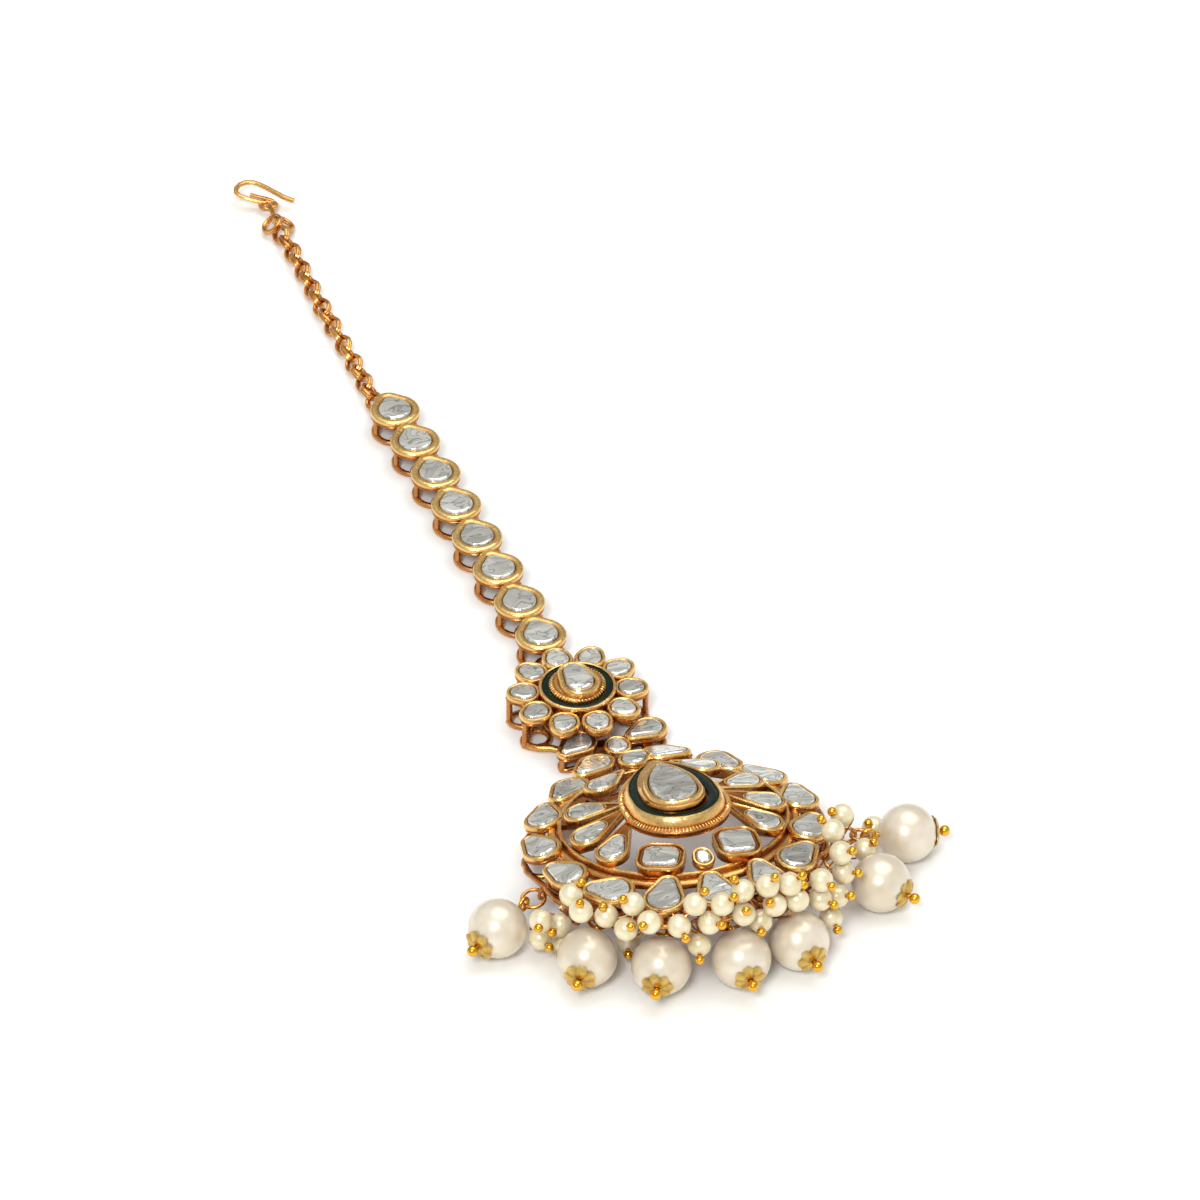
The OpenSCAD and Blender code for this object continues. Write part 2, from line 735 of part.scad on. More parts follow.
// Outline of a star with six petals
module star(outer, inner) {
    polygon([for (k = [0:11]) (k % 2 == 0 ? outer : inner) * [cos(k * 30), sin(k * 30)]]);
}

// Domed star cap over the outer end of each large pearl
module pearl_caps() {
    r = pearl_d / 2;
    color(gold) for (row = pearl_rows) along_pin(pearl_at(row), pin_dir(row)) rotate([0, 90, 0])
        intersection() {
            rotate_extrude($fn = round_fn) difference() {
                circle(r = r + 0.35, $fn = round_fn);
                circle(r = r + 0.1, $fn = round_fn);
                translate([-2 * r, -2 * r]) square([2 * r + pin_r + 0.1, 4 * r]);
                translate([-r, -2 * r]) square([3 * r, 2 * r + 1]);
            }
            linear_extrude(2 * r) star(2.9, 1.9);
        }
}

module pearl_pins() {
    r = pearl_d / 2;
    color(gold) for (row = pearl_rows) along_pin(pearl_at(row), pin_dir(row)) {
        translate([-r - pin_tail, 0, 0]) rotate([0, 90, 0])
            cylinder(r = pin_r, h = 2 * r + pin_tail + 1, $fn = 24);
        translate([r + 1.2, 0, 0]) sphere(r = 0.75, $fn = round_fn);
        translate([-r - pin_tail - eye_r, 0, 0]) rotate([90, 0, 0]) torus(eye_r, eye_wire);
    }
}

module drop_links() {
    color(dark_gold) {
        for (row = pearl_rows) jump_rings(pin_loop(row), pearl_eye(row), row[2]);
        for (a = bunch_dirs) jump_rings(bunch_core(a), edge_eye(a), a);
    }
}

// The middle of the ring that a bunch of small pearls hangs on
function bunch_core(a) = edge_eye(a) - bunch_drop * [0.1 * cos(a), 0.1 * sin(a), 1];

module along_seed(row) {
    translate([row[0], row[1], row[2]]) rotate([0, -row[4], row[3]]) children();
}

module small_pearls(rows) {
    color(cream) for (row = rows) along_seed(row) bead(seed_d, seed_pin_r + 0.1);
}

module small_pins(rows) {
    r = seed_d / 2;
    color(gold) for (row = rows) along_seed(row) {
        translate([-r - seed_tail, 0, 0]) rotate([0, 90, 0])
            cylinder(r = seed_pin_r, h = 2 * (r + seed_tail), $fn = 24);
        translate([r + 0.55, 0, 0]) sphere(r = 0.5, $fn = round_fn);
    }
}

module placed() {
    translate(origin_shift) children();
}

placed() hair_hook();
placed() hook_chain();
for (i = [1:link_count]) {
    placed() link_setting(i);
    placed() link_stone(i);
}
placed() join_rings();
placed() rosette_frame();
placed() rosette_enamel();
placed() rosette_stone();
placed() rosette_petal_stones();
placed() medallion_frame();
placed() medallion_enamel();
placed() centre_stone();
placed() leaf_stones();
placed() crown_stones();
for (i = [1:len(border_rows)])
    placed() border_stone(i);
for (i = [1:len(pearl_rows)])
    placed() pearl(i);
placed() pearl_caps();
placed() pearl_pins();
placed() drop_links();
placed() small_pearls(seed_left);  // small_pearls_left
placed() small_pearls(seed_right);  // small_pearls_right
placed() small_pins(seed_left);  // small_pins_left
placed() small_pins(seed_right);  // small_pins_right
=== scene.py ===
import math
import random

import bmesh
import bpy
from mathutils import Matrix, Vector, noise


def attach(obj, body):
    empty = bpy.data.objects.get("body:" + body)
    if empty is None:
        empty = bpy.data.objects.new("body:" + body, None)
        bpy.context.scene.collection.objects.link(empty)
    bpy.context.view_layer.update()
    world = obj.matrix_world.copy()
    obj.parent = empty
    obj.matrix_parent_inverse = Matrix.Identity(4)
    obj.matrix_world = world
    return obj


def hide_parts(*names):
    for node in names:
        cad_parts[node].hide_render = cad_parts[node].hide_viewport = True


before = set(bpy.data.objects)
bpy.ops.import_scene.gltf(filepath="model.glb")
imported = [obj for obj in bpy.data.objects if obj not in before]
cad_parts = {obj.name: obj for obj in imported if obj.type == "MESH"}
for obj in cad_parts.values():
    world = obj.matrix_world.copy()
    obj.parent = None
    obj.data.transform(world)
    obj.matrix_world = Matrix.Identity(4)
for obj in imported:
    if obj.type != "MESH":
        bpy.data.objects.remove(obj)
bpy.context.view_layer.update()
random.seed(11)
noise.seed_set(11)

# All shapes are drawn in millimetres round the medallion's centre, then moved into the frame in metres
jewel = {"mm": 0.001, "shift": Vector((-2.29, -68.51, 0)), "tilt": 11.6, "faceHeight": 8.8}
intoFrame = Matrix.Scale(jewel["mm"], 4) @ Matrix.Translation(jewel["shift"])


def spun(degrees, axis):
    return Matrix.Rotation(math.radians(degrees), 4, axis)


def placeAt(x, y, z=0.0, turn=0.0):
    return Matrix.Translation((x, y, z)) @ spun(turn, "Z")


def turned(x, y, degrees):
    return Matrix.Rotation(math.radians(degrees), 3, "Z") @ Vector((x, y, 0))


onFace = Matrix.Translation((0, 0, jewel["faceHeight"])) @ spun(-jewel["tilt"], "X")

# Camera: the photo's angle, a long lens from 1.2 m
camera = {"at": (-0.26814, -0.91478, 0.73879),
          "looks": (0.22789, 0.75434, -0.61566), "lens": 259.2, "reach": 20}
cameraData = bpy.data.cameras.new("camera")
cameraData.lens = camera["lens"]
cameraData.clip_end = camera["reach"]
cameraObject = bpy.data.objects.new("camera", cameraData)
cameraObject.location = camera["at"]
cameraObject.rotation_euler = Vector(camera["looks"]).to_track_quat("-Z", "Y").to_euler()
bpy.context.scene.collection.objects.link(cameraObject)
bpy.context.scene.camera = cameraObject
bpy.context.scene.view_settings.view_transform = "Standard"


# Node materials
def hexColour(text):
    parts = [int(text[i:i + 2], 16) / 255 for i in (1, 3, 5)]
    return [c / 12.92 if c <= 0.04045 else ((c + 0.055) / 1.055) ** 2.4 for c in parts] + [1]


def addNode(tree, kind, inputs=None, stops=None, **settings):
    node = tree.nodes.new("ShaderNode" + kind)
    for key, value in settings.items():
        setattr(node, key, value)
    for key, value in (inputs or {}).items():
        if isinstance(value, bpy.types.NodeSocket):
            tree.links.new(value, node.inputs[key])
        else:
            node.inputs[key].default_value = value
    if stops:
        ramp = node.color_ramp.elements
        while len(ramp) < len(stops):
            ramp.new(0.5)
        for element, (position, colour) in zip(ramp, stops):
            element.position = position
            element.color = hexColour(colour)
    return node


def perMm(size):
    return 1 / (size * jewel["mm"])


def newMaterial(name):
    material = bpy.data.materials.new(name)
    material.use_nodes = True
    tree = material.node_tree
    tree.nodes.clear()
    return material, tree, addNode(tree, "TexCoord").outputs["Object"]


def addNoise(tree, where, size, detail):
    inputs = {"Vector": where, "Scale": perMm(size), "Detail": detail}
    return addNode(tree, "TexNoise", inputs).outputs["Fac"]


def addBump(tree, height, strength, distance):
    inputs = {"Height": height, "Strength": strength, "Distance": distance}
    return addNode(tree, "Bump", inputs).outputs[0]


# Spreads a value from one range over another
def addRange(tree, value, start, stop, low, high):
    inputs = {"Value": value, "From Min": start, "From Max": stop, "To Min": low, "To Max": high}
    return addNode(tree, "MapRange", inputs).outputs[0]


def closeMaterial(tree, shader):
    addNode(tree, "OutputMaterial", {"Surface": shader.outputs[0]})


# Metal under a thin gold wash. The patina and painted shade stored on each vertex moves the colour from
# bright rims to orange brown hollows, lower walls and undersides, darkening them as shade would; clouds make
# the wash uneven, and a fine grain breaks up the highlights
finish = {"low": 0.3, "high": 0.7, "smoother": 0.06, "rougher": 0.08, "relief": 0.3}


def goldMaterial(name, look):
    material, tree, where = newMaterial(name)
    depth = addNode(tree, "Attribute", attribute_name="patinaAndShade").outputs["Fac"]
    clouds = addNoise(tree, where, look["cloud"], 3)
    grain = addNoise(tree, where, look["grain"], 4)
    spread = addRange(tree, clouds, finish["low"], finish["high"],
                      look["base"] - look["spread"], look["base"] + look["spread"])
    # Painted shade and patina from the vertices, plus the uneven wash, pick the place on the colour ramp
    patinaShadeAndWash = addNode(tree, "Math", {0: depth, 1: spread}, operation="ADD", use_clamp=True)
    colour = addNode(tree, "ValToRGB", {"Fac": patinaShadeAndWash.outputs[0]}, look["colours"])
    satin = addRange(tree, grain, finish["low"], finish["high"],
                     look["rough"] - finish["smoother"], look["rough"] + finish["rougher"])
    bump = addBump(tree, grain, look["bump"], look["grain"] * jewel["mm"] * finish["relief"])
    shader = addNode(tree, "BsdfPrincipled", {
        "Base Color": colour.outputs[0], "Metallic": 1.0, "Roughness": satin, "Normal": bump})
    closeMaterial(tree, shader)
    return material


castColours = [(0, "#F9D892"), (0.35, "#E2AA5E"), (0.68, "#BF7E47"), (1, "#93572E")]
# Investment-cast brass, hand polished on the rims, with painted shade in its hollows: the pale, softly
# speckled gold of the settings
antiqueGold = goldMaterial("castGoldWash", {
    "colours": castColours, "cloud": 2.5, "grain": 0.5, "base": 0.13, "spread": 0.12,
    "rough": 0.27, "bump": 0.28})
# Drawn wire takes less polish, so it stays more orange
ringGold = goldMaterial("drawnWireGold", {
    "colours": castColours, "cloud": 1.5, "grain": 0.4, "base": 0.42, "spread": 0.16,
    "rough": 0.25, "bump": 0.2})
# Chain wire, rubbed brighter by handling, with dark joints
chainGold = goldMaterial("chainWireGold", {
    "colours": castColours, "cloud": 1.5, "grain": 0.4, "base": 0.3, "spread": 0.2,
    "rough": 0.24, "bump": 0.2})
# Stamped brass sheet: greener and duller than the cast parts
capBrass = goldMaterial("stampedBrass", {
    "colours": [(0, "#E0C478"), (0.4, "#C4A052"), (0.75, "#98783C"), (1, "#664A22")],
    "cloud": 1.2, "grain": 0.25, "base": 0.16, "spread": 0.2, "rough": 0.36, "bump": 0.5})
# Upset ends of the head pins, tumbled bright: small deep yellow points
pinGold = goldMaterial("tumbledPinGold", {
    "colours": [(0, "#F2B943"), (0.5, "#E09A28"), (1, "#A8641A")],
    "cloud": 1.5, "grain": 0.4, "base": 0.15, "spread": 0.15, "rough": 0.16, "bump": 0.15})


# Flat uncut glass over silver foil, ground by hand: pale mirror tables with dark curved flaws and
# cloudy patches. The streaks are coarser than in real polki, so that a few cross each stone
def stoneMaterial():
    look = {"streak": 3.3, "stretch": (0.55, 1.1, 1.0), "turn": 0.5, "fleck": 1.1, "dip": 0.0003,
            "clear": "#F4F4F0", "cloudy": "#B9B8B1", "line": "#77726A", "flaw": "#57524C",
            "lined": 0.75, "foil": 0.72, "rough": 0.14, "coat": 0.6}
    material, tree, where = newMaterial("foiledPolki")
    tone = addNode(tree, "Attribute", attribute_name="tone").outputs["Fac"]
    lean = addNode(tree, "Mapping", {
        "Vector": where, "Scale": look["stretch"], "Rotation": (0, 0, look["turn"])})
    streaks = addNode(tree, "TexNoise", {
        "Vector": lean.outputs[0], "Scale": perMm(look["streak"]), "Detail": 1.5, "Distortion": 1.6})
    flecks = addNoise(tree, where, look["fleck"], 6)
    cloud = addRange(tree, streaks.outputs["Fac"], 0.35, 0.68, 0, 0.8)
    shade = addNode(tree, "Math", {0: cloud, 1: tone}, operation="ADD", use_clamp=True)
    body = addNode(tree, "ValToRGB", {"Fac": shade.outputs[0]}, [(0, look["clear"]), (1, look["cloudy"])])
    lines = addNode(tree, "ValToRGB", {"Fac": streaks.outputs["Fac"]}, [
        (0.42, "#FFFFFF"), (0.437, look["line"]), (0.46, "#FFFFFF"),
        (0.56, "#FFFFFF"), (0.568, look["line"]), (0.58, "#FFFFFF")])
    lined = addNode(tree, "Mix", {
        0: look["lined"], 6: body.outputs[0], 7: lines.outputs[0]}, data_type="RGBA", blend_type="MULTIPLY")
    spots = addNode(tree, "ValToRGB", {"Fac": flecks}, [(0.68, "#000000"), (0.76, "#FFFFFF")])
    colour = addNode(tree, "Mix", {
        0: spots.outputs[0], 6: lined.outputs[2], 7: hexColour(look["flaw"])}, data_type="RGBA")
    bump = addBump(tree, streaks.outputs["Fac"], 0.5, look["dip"])
    shader = addNode(tree, "BsdfPrincipled", {
        "Base Color": colour.outputs[2], "Metallic": look["foil"], "Roughness": look["rough"],
        "Coat Weight": look["coat"], "Coat Roughness": 0.04, "Normal": bump})
    closeMaterial(tree, shader)
    return material


polkiGlass = stoneMaterial()


# Glass enamel fired in a channel: a glossy, nearly black green with fine ripples
def enamelMaterial():
    look = {"ripple": 0.8, "dip": 0.00008, "deep": "#03100E", "light": "#072A18",
            "rough": 0.26, "gloss": 0.25}
    material, tree, where = newMaterial("firedGreenEnamel")
    ripple = addNoise(tree, where, look["ripple"], 3)
    colour = addNode(tree, "ValToRGB", {"Fac": ripple}, [(0.4, look["deep"]), (0.85, look["light"])])
    bump = addBump(tree, ripple, 0.3, look["dip"])
    shader = addNode(tree, "BsdfPrincipled", {
        "Base Color": colour.outputs[0], "Roughness": look["rough"],
        "Specular IOR Level": look["gloss"], "Normal": bump})
    closeMaterial(tree, shader)
    return material


greenEnamel = enamelMaterial()


# Bead dipped in lacquer with mica: a broad soft sheen over ivory, and a skin with barely seen dimples
lacquer = {"skin": 0.25, "dip": 0.00003, "mica": 0.3, "rough": 0.3, "coat": 0.35, "coatRough": 0.15}


def pearlMaterial(name, look):
    material, tree, where = newMaterial(name)
    cloud = addNoise(tree, where, look["cloud"], 2)
    skin = addNoise(tree, where, lacquer["skin"], 3)
    colour = addNode(tree, "ValToRGB", {"Fac": cloud}, [(0.35, look["light"]), (0.7, look["dark"])])
    bump = addBump(tree, skin, 0.08, lacquer["dip"])
    shader = addNode(tree, "BsdfPrincipled", {
        "Base Color": colour.outputs[0], "Metallic": lacquer["mica"], "Roughness": lacquer["rough"],
        "Coat Weight": lacquer["coat"], "Coat Roughness": lacquer["coatRough"], "Normal": bump})
    closeMaterial(tree, shader)
    return material


pearlLacquer = pearlMaterial("ivoryPearlLacquer", {"cloud": 4, "light": "#E6DCCB", "dark": "#DACCB4"})
seedLacquer = pearlMaterial("creamPearlLacquer", {"cloud": 2, "light": "#EFE5C8", "dark": "#E0D2A8"})
print("materials made")


# Edges or faces of some vertices, each once and in the same order every run
def linked(verts, kind="link_edges"):
    return list(dict.fromkeys(part for v in verts for part in getattr(v, kind)))


# Rings of vertices joined into a tube, still on the unit circle, one step of z apart
def stackRings(bm, count, levels, closed):
    ring = bmesh.ops.create_circle(bm, segments=count, radius=1)["verts"]
    first = edges = linked(ring)
    verts = list(ring)
    for _ in range(levels - 1):
        made = bmesh.ops.extrude_edge_only(bm, edges=edges)["geom"]
        ring = [g for g in made if isinstance(g, bmesh.types.BMVert)]
        inRing = set(ring)
        edges = [g for g in made if isinstance(g, bmesh.types.BMEdge) and set(g.verts) <= inRing]
        bmesh.ops.translate(bm, verts=ring, vec=(0, 0, 1))
        verts += ring
    if closed:
        bmesh.ops.bridge_loops(bm, edges=first + edges)
    else:
        for loop in (first, edges):
            bmesh.ops.contextual_create(bm, geom=loop)
    return verts


# Per-vertex patina and painted shade: 0 on bright rim tops, up to 1 in hollows and on lower walls where
# shade falls
def patinaAndShadeLayer(bm):
    return bm.verts.layers.float.get("patinaAndShade") or bm.verts.layers.float.new("patinaAndShade")


# Outlines: each gives, for the direction that its edge faces, the centre and radius of its arc there
def pearOutline(big, tip, gap, middle=None):
    lean = (big - tip) / gap
    low = -(pearMiddle(big, tip, gap) if middle is None else middle)
    return lambda angle: (0, low + gap, tip) if math.sin(angle) > lean else (0, low, big)


# From a pear's middle to the middle of its big end, and to the wire that passes round its tip
def pearMiddle(big, tip, gap):
    return (gap + tip - big) / 2


def pearReach(big, tip, gap):
    return (big + tip + gap) / 2 + 0.1


def cushionOutline(width, length, corner):
    across, along = width / 2 - corner, length / 2 - corner
    return lambda angle: (
        math.copysign(across, math.cos(angle)), math.copysign(along, math.sin(angle)), corner)


def roundOutline(radius):
    return lambda angle: (0, 0, radius)


# Pointed arch: a round end, a short straight run and two long side arcs that meet in a small tip
def archOutline(end, side, tip, run, at):
    across = side - end
    rise = math.sqrt((side - tip) ** 2 - across ** 2)
    turnsAt = rise / (side - tip)

    def arcFor(angle):
        if math.sin(angle) > turnsAt:
            return 0, at + run + rise, tip
        if math.sin(angle) > 0:
            return -math.copysign(across, math.cos(angle)), at + run, side
        return 0, at, end
    return arcFor


smallestArc = 0.02


def edgePoint(outline, angle, grow, height=0.0):
    x, y, radius = outline(angle)
    reach = max(radius + grow, smallestArc)
    return Vector((x + reach * math.cos(angle), y + reach * math.sin(angle), height))


# Rows of a wall: each is [outline, how far out, height, patina and painted shade]
def rowsOn(outline, rows):
    return [(outline, *row) for row in rows]


# Wall round outlines, closed into a ring or capped at both ends
def addWall(bm, matrix, rows, count=48, closed=False):
    layer = patinaAndShadeLayer(bm)
    for v in stackRings(bm, count, len(rows), closed):
        outline, grow, height, patinaAndShade = rows[round(v.co.z)]
        v[layer] = patinaAndShade
        v.co = matrix @ edgePoint(outline, math.atan2(v.co.y, v.co.x), grow, height)


# Round wire along points
# Each wire carries one value of patina and painted shade; wires behind and under the frame are given darker
# values
def addWire(bm, matrix, points, radius, sides=10, closed=False, patinaAndShade=0.35, flat=1.0):
    layer = patinaAndShadeLayer(bm)
    path = [matrix @ Vector(p) for p in points]
    last = len(path) - 1
    frames = []
    up = Vector((0, 0, 1))
    for k, p in enumerate(path):
        before = path[k - 1] if k or closed else p
        after = path[(k + 1) % len(path)] if k < last or closed else p
        ahead = (after - before).normalized()
        side = ahead.cross(up)
        if side.length < 0.1:
            side = ahead.orthogonal()
        side.normalize()
        up = side.cross(ahead).normalized()
        frames.append((p, side, up))
    for v in stackRings(bm, sides, len(path), closed):
        p, side, rise = frames[round(v.co.z)]
        angle = math.atan2(v.co.y, v.co.x)
        v[layer] = patinaAndShade
        v.co = p + radius * (side * math.cos(angle) + rise * flat * math.sin(angle))


def circlePoints(radius, count=32, start=0.0, stop=360.0):
    whole = stop - start >= 360
    steps = count if whole else count - 1
    angles = [math.radians(start + (stop - start) * k / steps) for k in range(count)]
    return [(radius * math.cos(a), radius * math.sin(a), 0) for a in angles]


# Soldered post between a cup and its wire, a little wider at both ends
# The post's last value is patina and painted shade, mid dark as it stands under the cups
postShape = {"radius": 0.42, "flare": 0.25, "foot": 1.25, "sides": 12, "patinaAndShade": 0.5}


def addPost(bm, matrix, x, y, top, bottom):
    heights = [top, top - postShape["flare"], bottom + postShape["flare"], bottom]
    layer = patinaAndShadeLayer(bm)
    for v in stackRings(bm, postShape["sides"], len(heights), False):
        k = round(v.co.z)
        wide = postShape["radius"] * (postShape["foot"] if k in (0, 3) else 1)
        v[layer] = postShape["patinaAndShade"]
        v.co = matrix @ Vector((x + wide * v.co.x, y + wide * v.co.y, heights[k]))


# A flat closed loop of wire that follows an outline
def addOutlineWire(bm, matrix, outline, grow, height, radius, count=40, patinaAndShade=0.45):
    angles = [math.tau * k / count for k in range(count)]
    addWire(bm, matrix, [edgePoint(outline, a, grow, height) for a in angles], radius, 10, True, patinaAndShade)


# Bars sit under the leaves and the crown, so by default they get a dark value of patina and painted shade
def addBar(bm, matrix, size, patinaAndShade=0.75, worn=0.12):
    layer = patinaAndShadeLayer(bm)
    made = bmesh.ops.create_cube(bm, size=1, matrix=matrix @ Matrix.Diagonal((*size, 1)))["verts"]
    for v in made:
        v[layer] = patinaAndShade
    edges = linked(made)
    bmesh.ops.bevel(bm, geom=edges, offset=worn, segments=2, profile=0.5, affect="EDGES", material=-1)


# Evenly spaced places along an outline: [point, direction it faces]
def alongOutline(outline, grow, height, spacing):
    fine = 720
    turns = [math.tau * k / fine for k in range(fine + 1)]
    spots = [(edgePoint(outline, angle, grow, height), angle) for angle in turns]
    travelled = [0.0]
    for (a, _), (b, _) in zip(spots, spots[1:]):
        travelled.append(travelled[-1] + (b - a).length)
    count = round(travelled[-1] / spacing)
    found, k = [], 0
    for n in range(count):
        goal = travelled[-1] * n / count
        while travelled[k + 1] < goal:
            k += 1
        share = (goal - travelled[k]) / max(travelled[k + 1] - travelled[k], 1e-9)
        found.append((spots[k][0].lerp(spots[k + 1][0], share), spots[k][1]))
    return found


# Row of small ridges pressed round an edge: size is [outwards, along, up]
def addMilling(bm, matrix, outline, grow, height, spacing, size, lean=0.35):
    layer = patinaAndShadeLayer(bm)
    for point, angle in alongOutline(outline, grow, height, spacing):
        spot = matrix @ Matrix.Translation(point) @ Matrix.Rotation(angle, 4, "Z")
        spot = spot @ Matrix.Rotation(lean, 4, "Y")
        ridge = bmesh.ops.create_uvsphere(bm, u_segments=6, v_segments=5, radius=1,
                                          matrix=spot @ Matrix.Diagonal((*size, 1)))["verts"]
        # Ridges carry no patina or painted shade: they take the brightest gold
        for v in ridge:
            v[layer] = 0.0


# Wax-carved and cast metal is never quite true, and its feet are worn level on the table
def roughCast(bm, amount=0.035, size=1.6):
    for v in bm.verts:
        v.co += noise.noise_vector(v.co / size) * amount
        v.co.z = max(v.co.z, 0)


def finishPiece(name, bm, material, replaced=(), sharp=38):
    bmesh.ops.recalc_face_normals(bm, faces=bm.faces)
    bm.transform(intoFrame)
    mesh = bpy.data.meshes.new(name)
    bm.to_mesh(mesh)
    bm.free()
    mesh.shade_smooth()
    mesh.set_sharp_from_angle(angle=math.radians(sharp))
    mesh.materials.append(material)
    piece = bpy.data.objects.new(name, mesh)
    bpy.context.scene.collection.objects.link(piece)
    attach(piece, "root")
    if replaced:
        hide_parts(*replaced)
    return piece


def finishGold(name, bm, *nodes):
    finishPiece(name, bm, antiqueGold, nodes)


# Nearly every edge of a stone stays sharp
def finishStones(name, bm, *nodes):
    finishPiece(name, bm, polkiGlass, nodes, 4)


# Settings: a cup with a rolled rim round each stone
setting = {"rim": 0.6, "cup": 1.15, "seat": 0.8, "smallRim": 0.5}
post = postShape["radius"]


# The last number of each row is patina and painted shade: dark on the outer foot and down inside by the
# stone, bright on the rolled rim
def cupRows(outline, rim, cup):
    return rowsOn(outline, [
        (rim - 0.1, -cup, 0.9), (rim - 0.02, -cup + 0.08, 0.8), (rim - 0.03, -0.86, 0.65),
        (rim - 0.1, -0.78, 0.85), (rim - 0.01, -0.7, 0.5), (rim + 0.04, -0.52, 0.22),
        (rim + 0.04, -0.3, 0.06), (rim - 0.04, -0.1, 0), (rim * 0.78, 0.03, 0), (rim * 0.5, 0.07, 0),
        (rim * 0.25, 0.02, 0.06), (0.03, -0.09, 0.4), (0.0, -0.2, 0.85), (-0.02, -0.5, 1),
        (-0.04, -setting["seat"], 1)])


def addCup(bm, matrix, outline, rim=setting["rim"], cup=setting["cup"], count=48):
    addWall(bm, matrix, cupRows(outline, rim, cup), count)


# Polki stone: a slab with a narrow worn bevel, a few low facets and a table that is not quite level
stoneCut = {"steep": (16, 26), "steepIn": (0.25, 0.5), "shallow": (5, 10), "shallowIn": (0.5, 0.9),
            "stray": 0.35, "tableTilt": (0.5, 2), "tone": (-0.2, 0.3)}


def addStone(bm, matrix, outline, proud=0.22, facets=5, wide=0.6, sides=40):
    own = bmesh.new()
    rows = [(-0.04, -0.7), (-0.04, -0.1), (-0.1, 0.02), (-0.2, proud - 0.07), (-0.26 - 0.3 * wide, proud)]
    for v in stackRings(own, sides, len(rows), False):
        grow, height = rows[round(v.co.z)]
        v.co = edgePoint(outline, math.atan2(v.co.y, v.co.x), grow, height)
    cuts = []
    for k in range(facets):
        angle = math.tau * (k + random.uniform(-stoneCut["stray"], stoneCut["stray"])) / facets
        if k % 2 == 0:
            slope = math.radians(random.uniform(*stoneCut["steep"]))
            inward = random.uniform(*stoneCut["steepIn"])
        else:
            slope = math.radians(random.uniform(*stoneCut["shallow"]))
            inward = random.uniform(*stoneCut["shallowIn"]) * wide
        cuts.append((edgePoint(outline, angle, -inward, proud - 0.03), angle, slope))
    tableTurn = random.uniform(0, math.tau)
    tableTilt = math.radians(random.uniform(*stoneCut["tableTilt"]))
    cuts.append((Vector((0, 0, proud - 0.02)), tableTurn, tableTilt))
    for point, angle, slope in cuts:
        aside = math.sin(slope)
        normal = Vector((math.cos(angle) * aside, math.sin(angle) * aside, math.cos(slope)))
        parts = own.verts[:] + own.edges[:] + own.faces[:]
        cut = bmesh.ops.bisect_plane(own, geom=parts, plane_co=point, plane_no=normal, clear_outer=True)
        loop = [g for g in cut["geom_cut"] if isinstance(g, bmesh.types.BMEdge)]
        if loop:
            bmesh.ops.contextual_create(own, geom=loop)
    layer = own.verts.layers.float.new("tone")
    tone = random.uniform(*stoneCut["tone"])
    for v in own.verts:
        v[layer] = tone
    own.transform(matrix)
    passing = bpy.data.meshes.new("passing")
    own.to_mesh(passing)
    own.free()
    bm.from_mesh(passing)
    bpy.data.meshes.remove(passing)


def newStones():
    bm = bmesh.new()
    bm.verts.layers.float.new("tone")
    return bm


# Strap: eight links on wire frames. Outlines of pears are [big end's radius, tip's radius, distance]
strap = {"outline": (2.4, 0.75, 2.4), "count": 8, "height": 4.3, "pitch": 7.95, "lean": 5.4, "first": 13.8,
         "foot": (-2.6, 35.6), "rim": 1.1, "postBack": 2.95, "postFront": 2.85, "postSide": 0.45}


def onStrap(distance):
    return Vector((*strap["foot"], 0)) + turned(0, distance, strap["lean"])


linkPear = pearOutline(*strap["outline"])
for number in range(1, strap["count"] + 1):
    at = onStrap(strap["first"] + (strap["count"] - number) * strap["pitch"])
    spot = placeAt(at.x, at.y, strap["height"], strap["lean"])
    bm = bmesh.new()
    addCup(bm, spot, linkPear, strap["rim"])
    addOutlineWire(bm, spot, linkPear, strap["rim"] - 0.05 - post, post - strap["height"], post)
    down = post * 0.6 - strap["height"]
    side = strap["outline"][0] + strap["postSide"]
    middle = pearMiddle(*strap["outline"])
    for x, y in ((0, -strap["postBack"]), (0, strap["postFront"]), (side, -middle), (-side, -middle)):
        addPost(bm, spot, x, y, -0.95, down)
    roughCast(bm)
    finishGold(f"strapLink{number}", bm, f"link_setting_{number}")
    bm = newStones()
    addStone(bm, spot, linkPear)
    finishStones(f"strapStone{number}", bm, f"link_stone_{number}")
print("strap made")

# Rosette: ten petals round an enamelled ring
rosette = {"at": (-3, 34.4), "height": 5.4, "petals": 10, "ring": 7.4, "turn": 0, "petal": (1.6, 1.3, 0.7),
           "centre": (2, 1.5, 2.3), "standing": (0, 1, 2, 3, 7, 8, 9), "hub": 5.3, "inner": 3.75,
           "rim": 0.55, "backRing": 4.75, "stoneHeight": 2.05,
           # spacing and size of the ridges on the collar
           "ridges": (0.46, (0.4, 0.16, 0.22))}
rosetteSpot = placeAt(*rosette["at"], rosette["height"], strap["lean"])
petalPear = pearOutline(*rosette["petal"])
rosettePear = pearOutline(*rosette["centre"])
bm = bmesh.new()
stones = newStones()
for k in range(rosette["petals"]):
    spot = rosetteSpot @ spun(k * 360 / rosette["petals"] + rosette["turn"], "Z")
    spot = spot @ Matrix.Translation((0, rosette["ring"], 0))
    addCup(bm, spot, petalPear, rosette["rim"], count=36)
    addStone(stones, spot, petalPear, 0.2, 4, 0.5, 32)
    if k in rosette["standing"]:
        addOutlineWire(bm, spot, petalPear, rosette["rim"] - post, post - rosette["height"], post, 28)
        addPost(bm, spot, 0, pearReach(*rosette["petal"]), -0.95, 0.25 - rosette["height"])
hub = roundOutline(rosette["hub"])
collar = roundOutline(rosette["inner"])
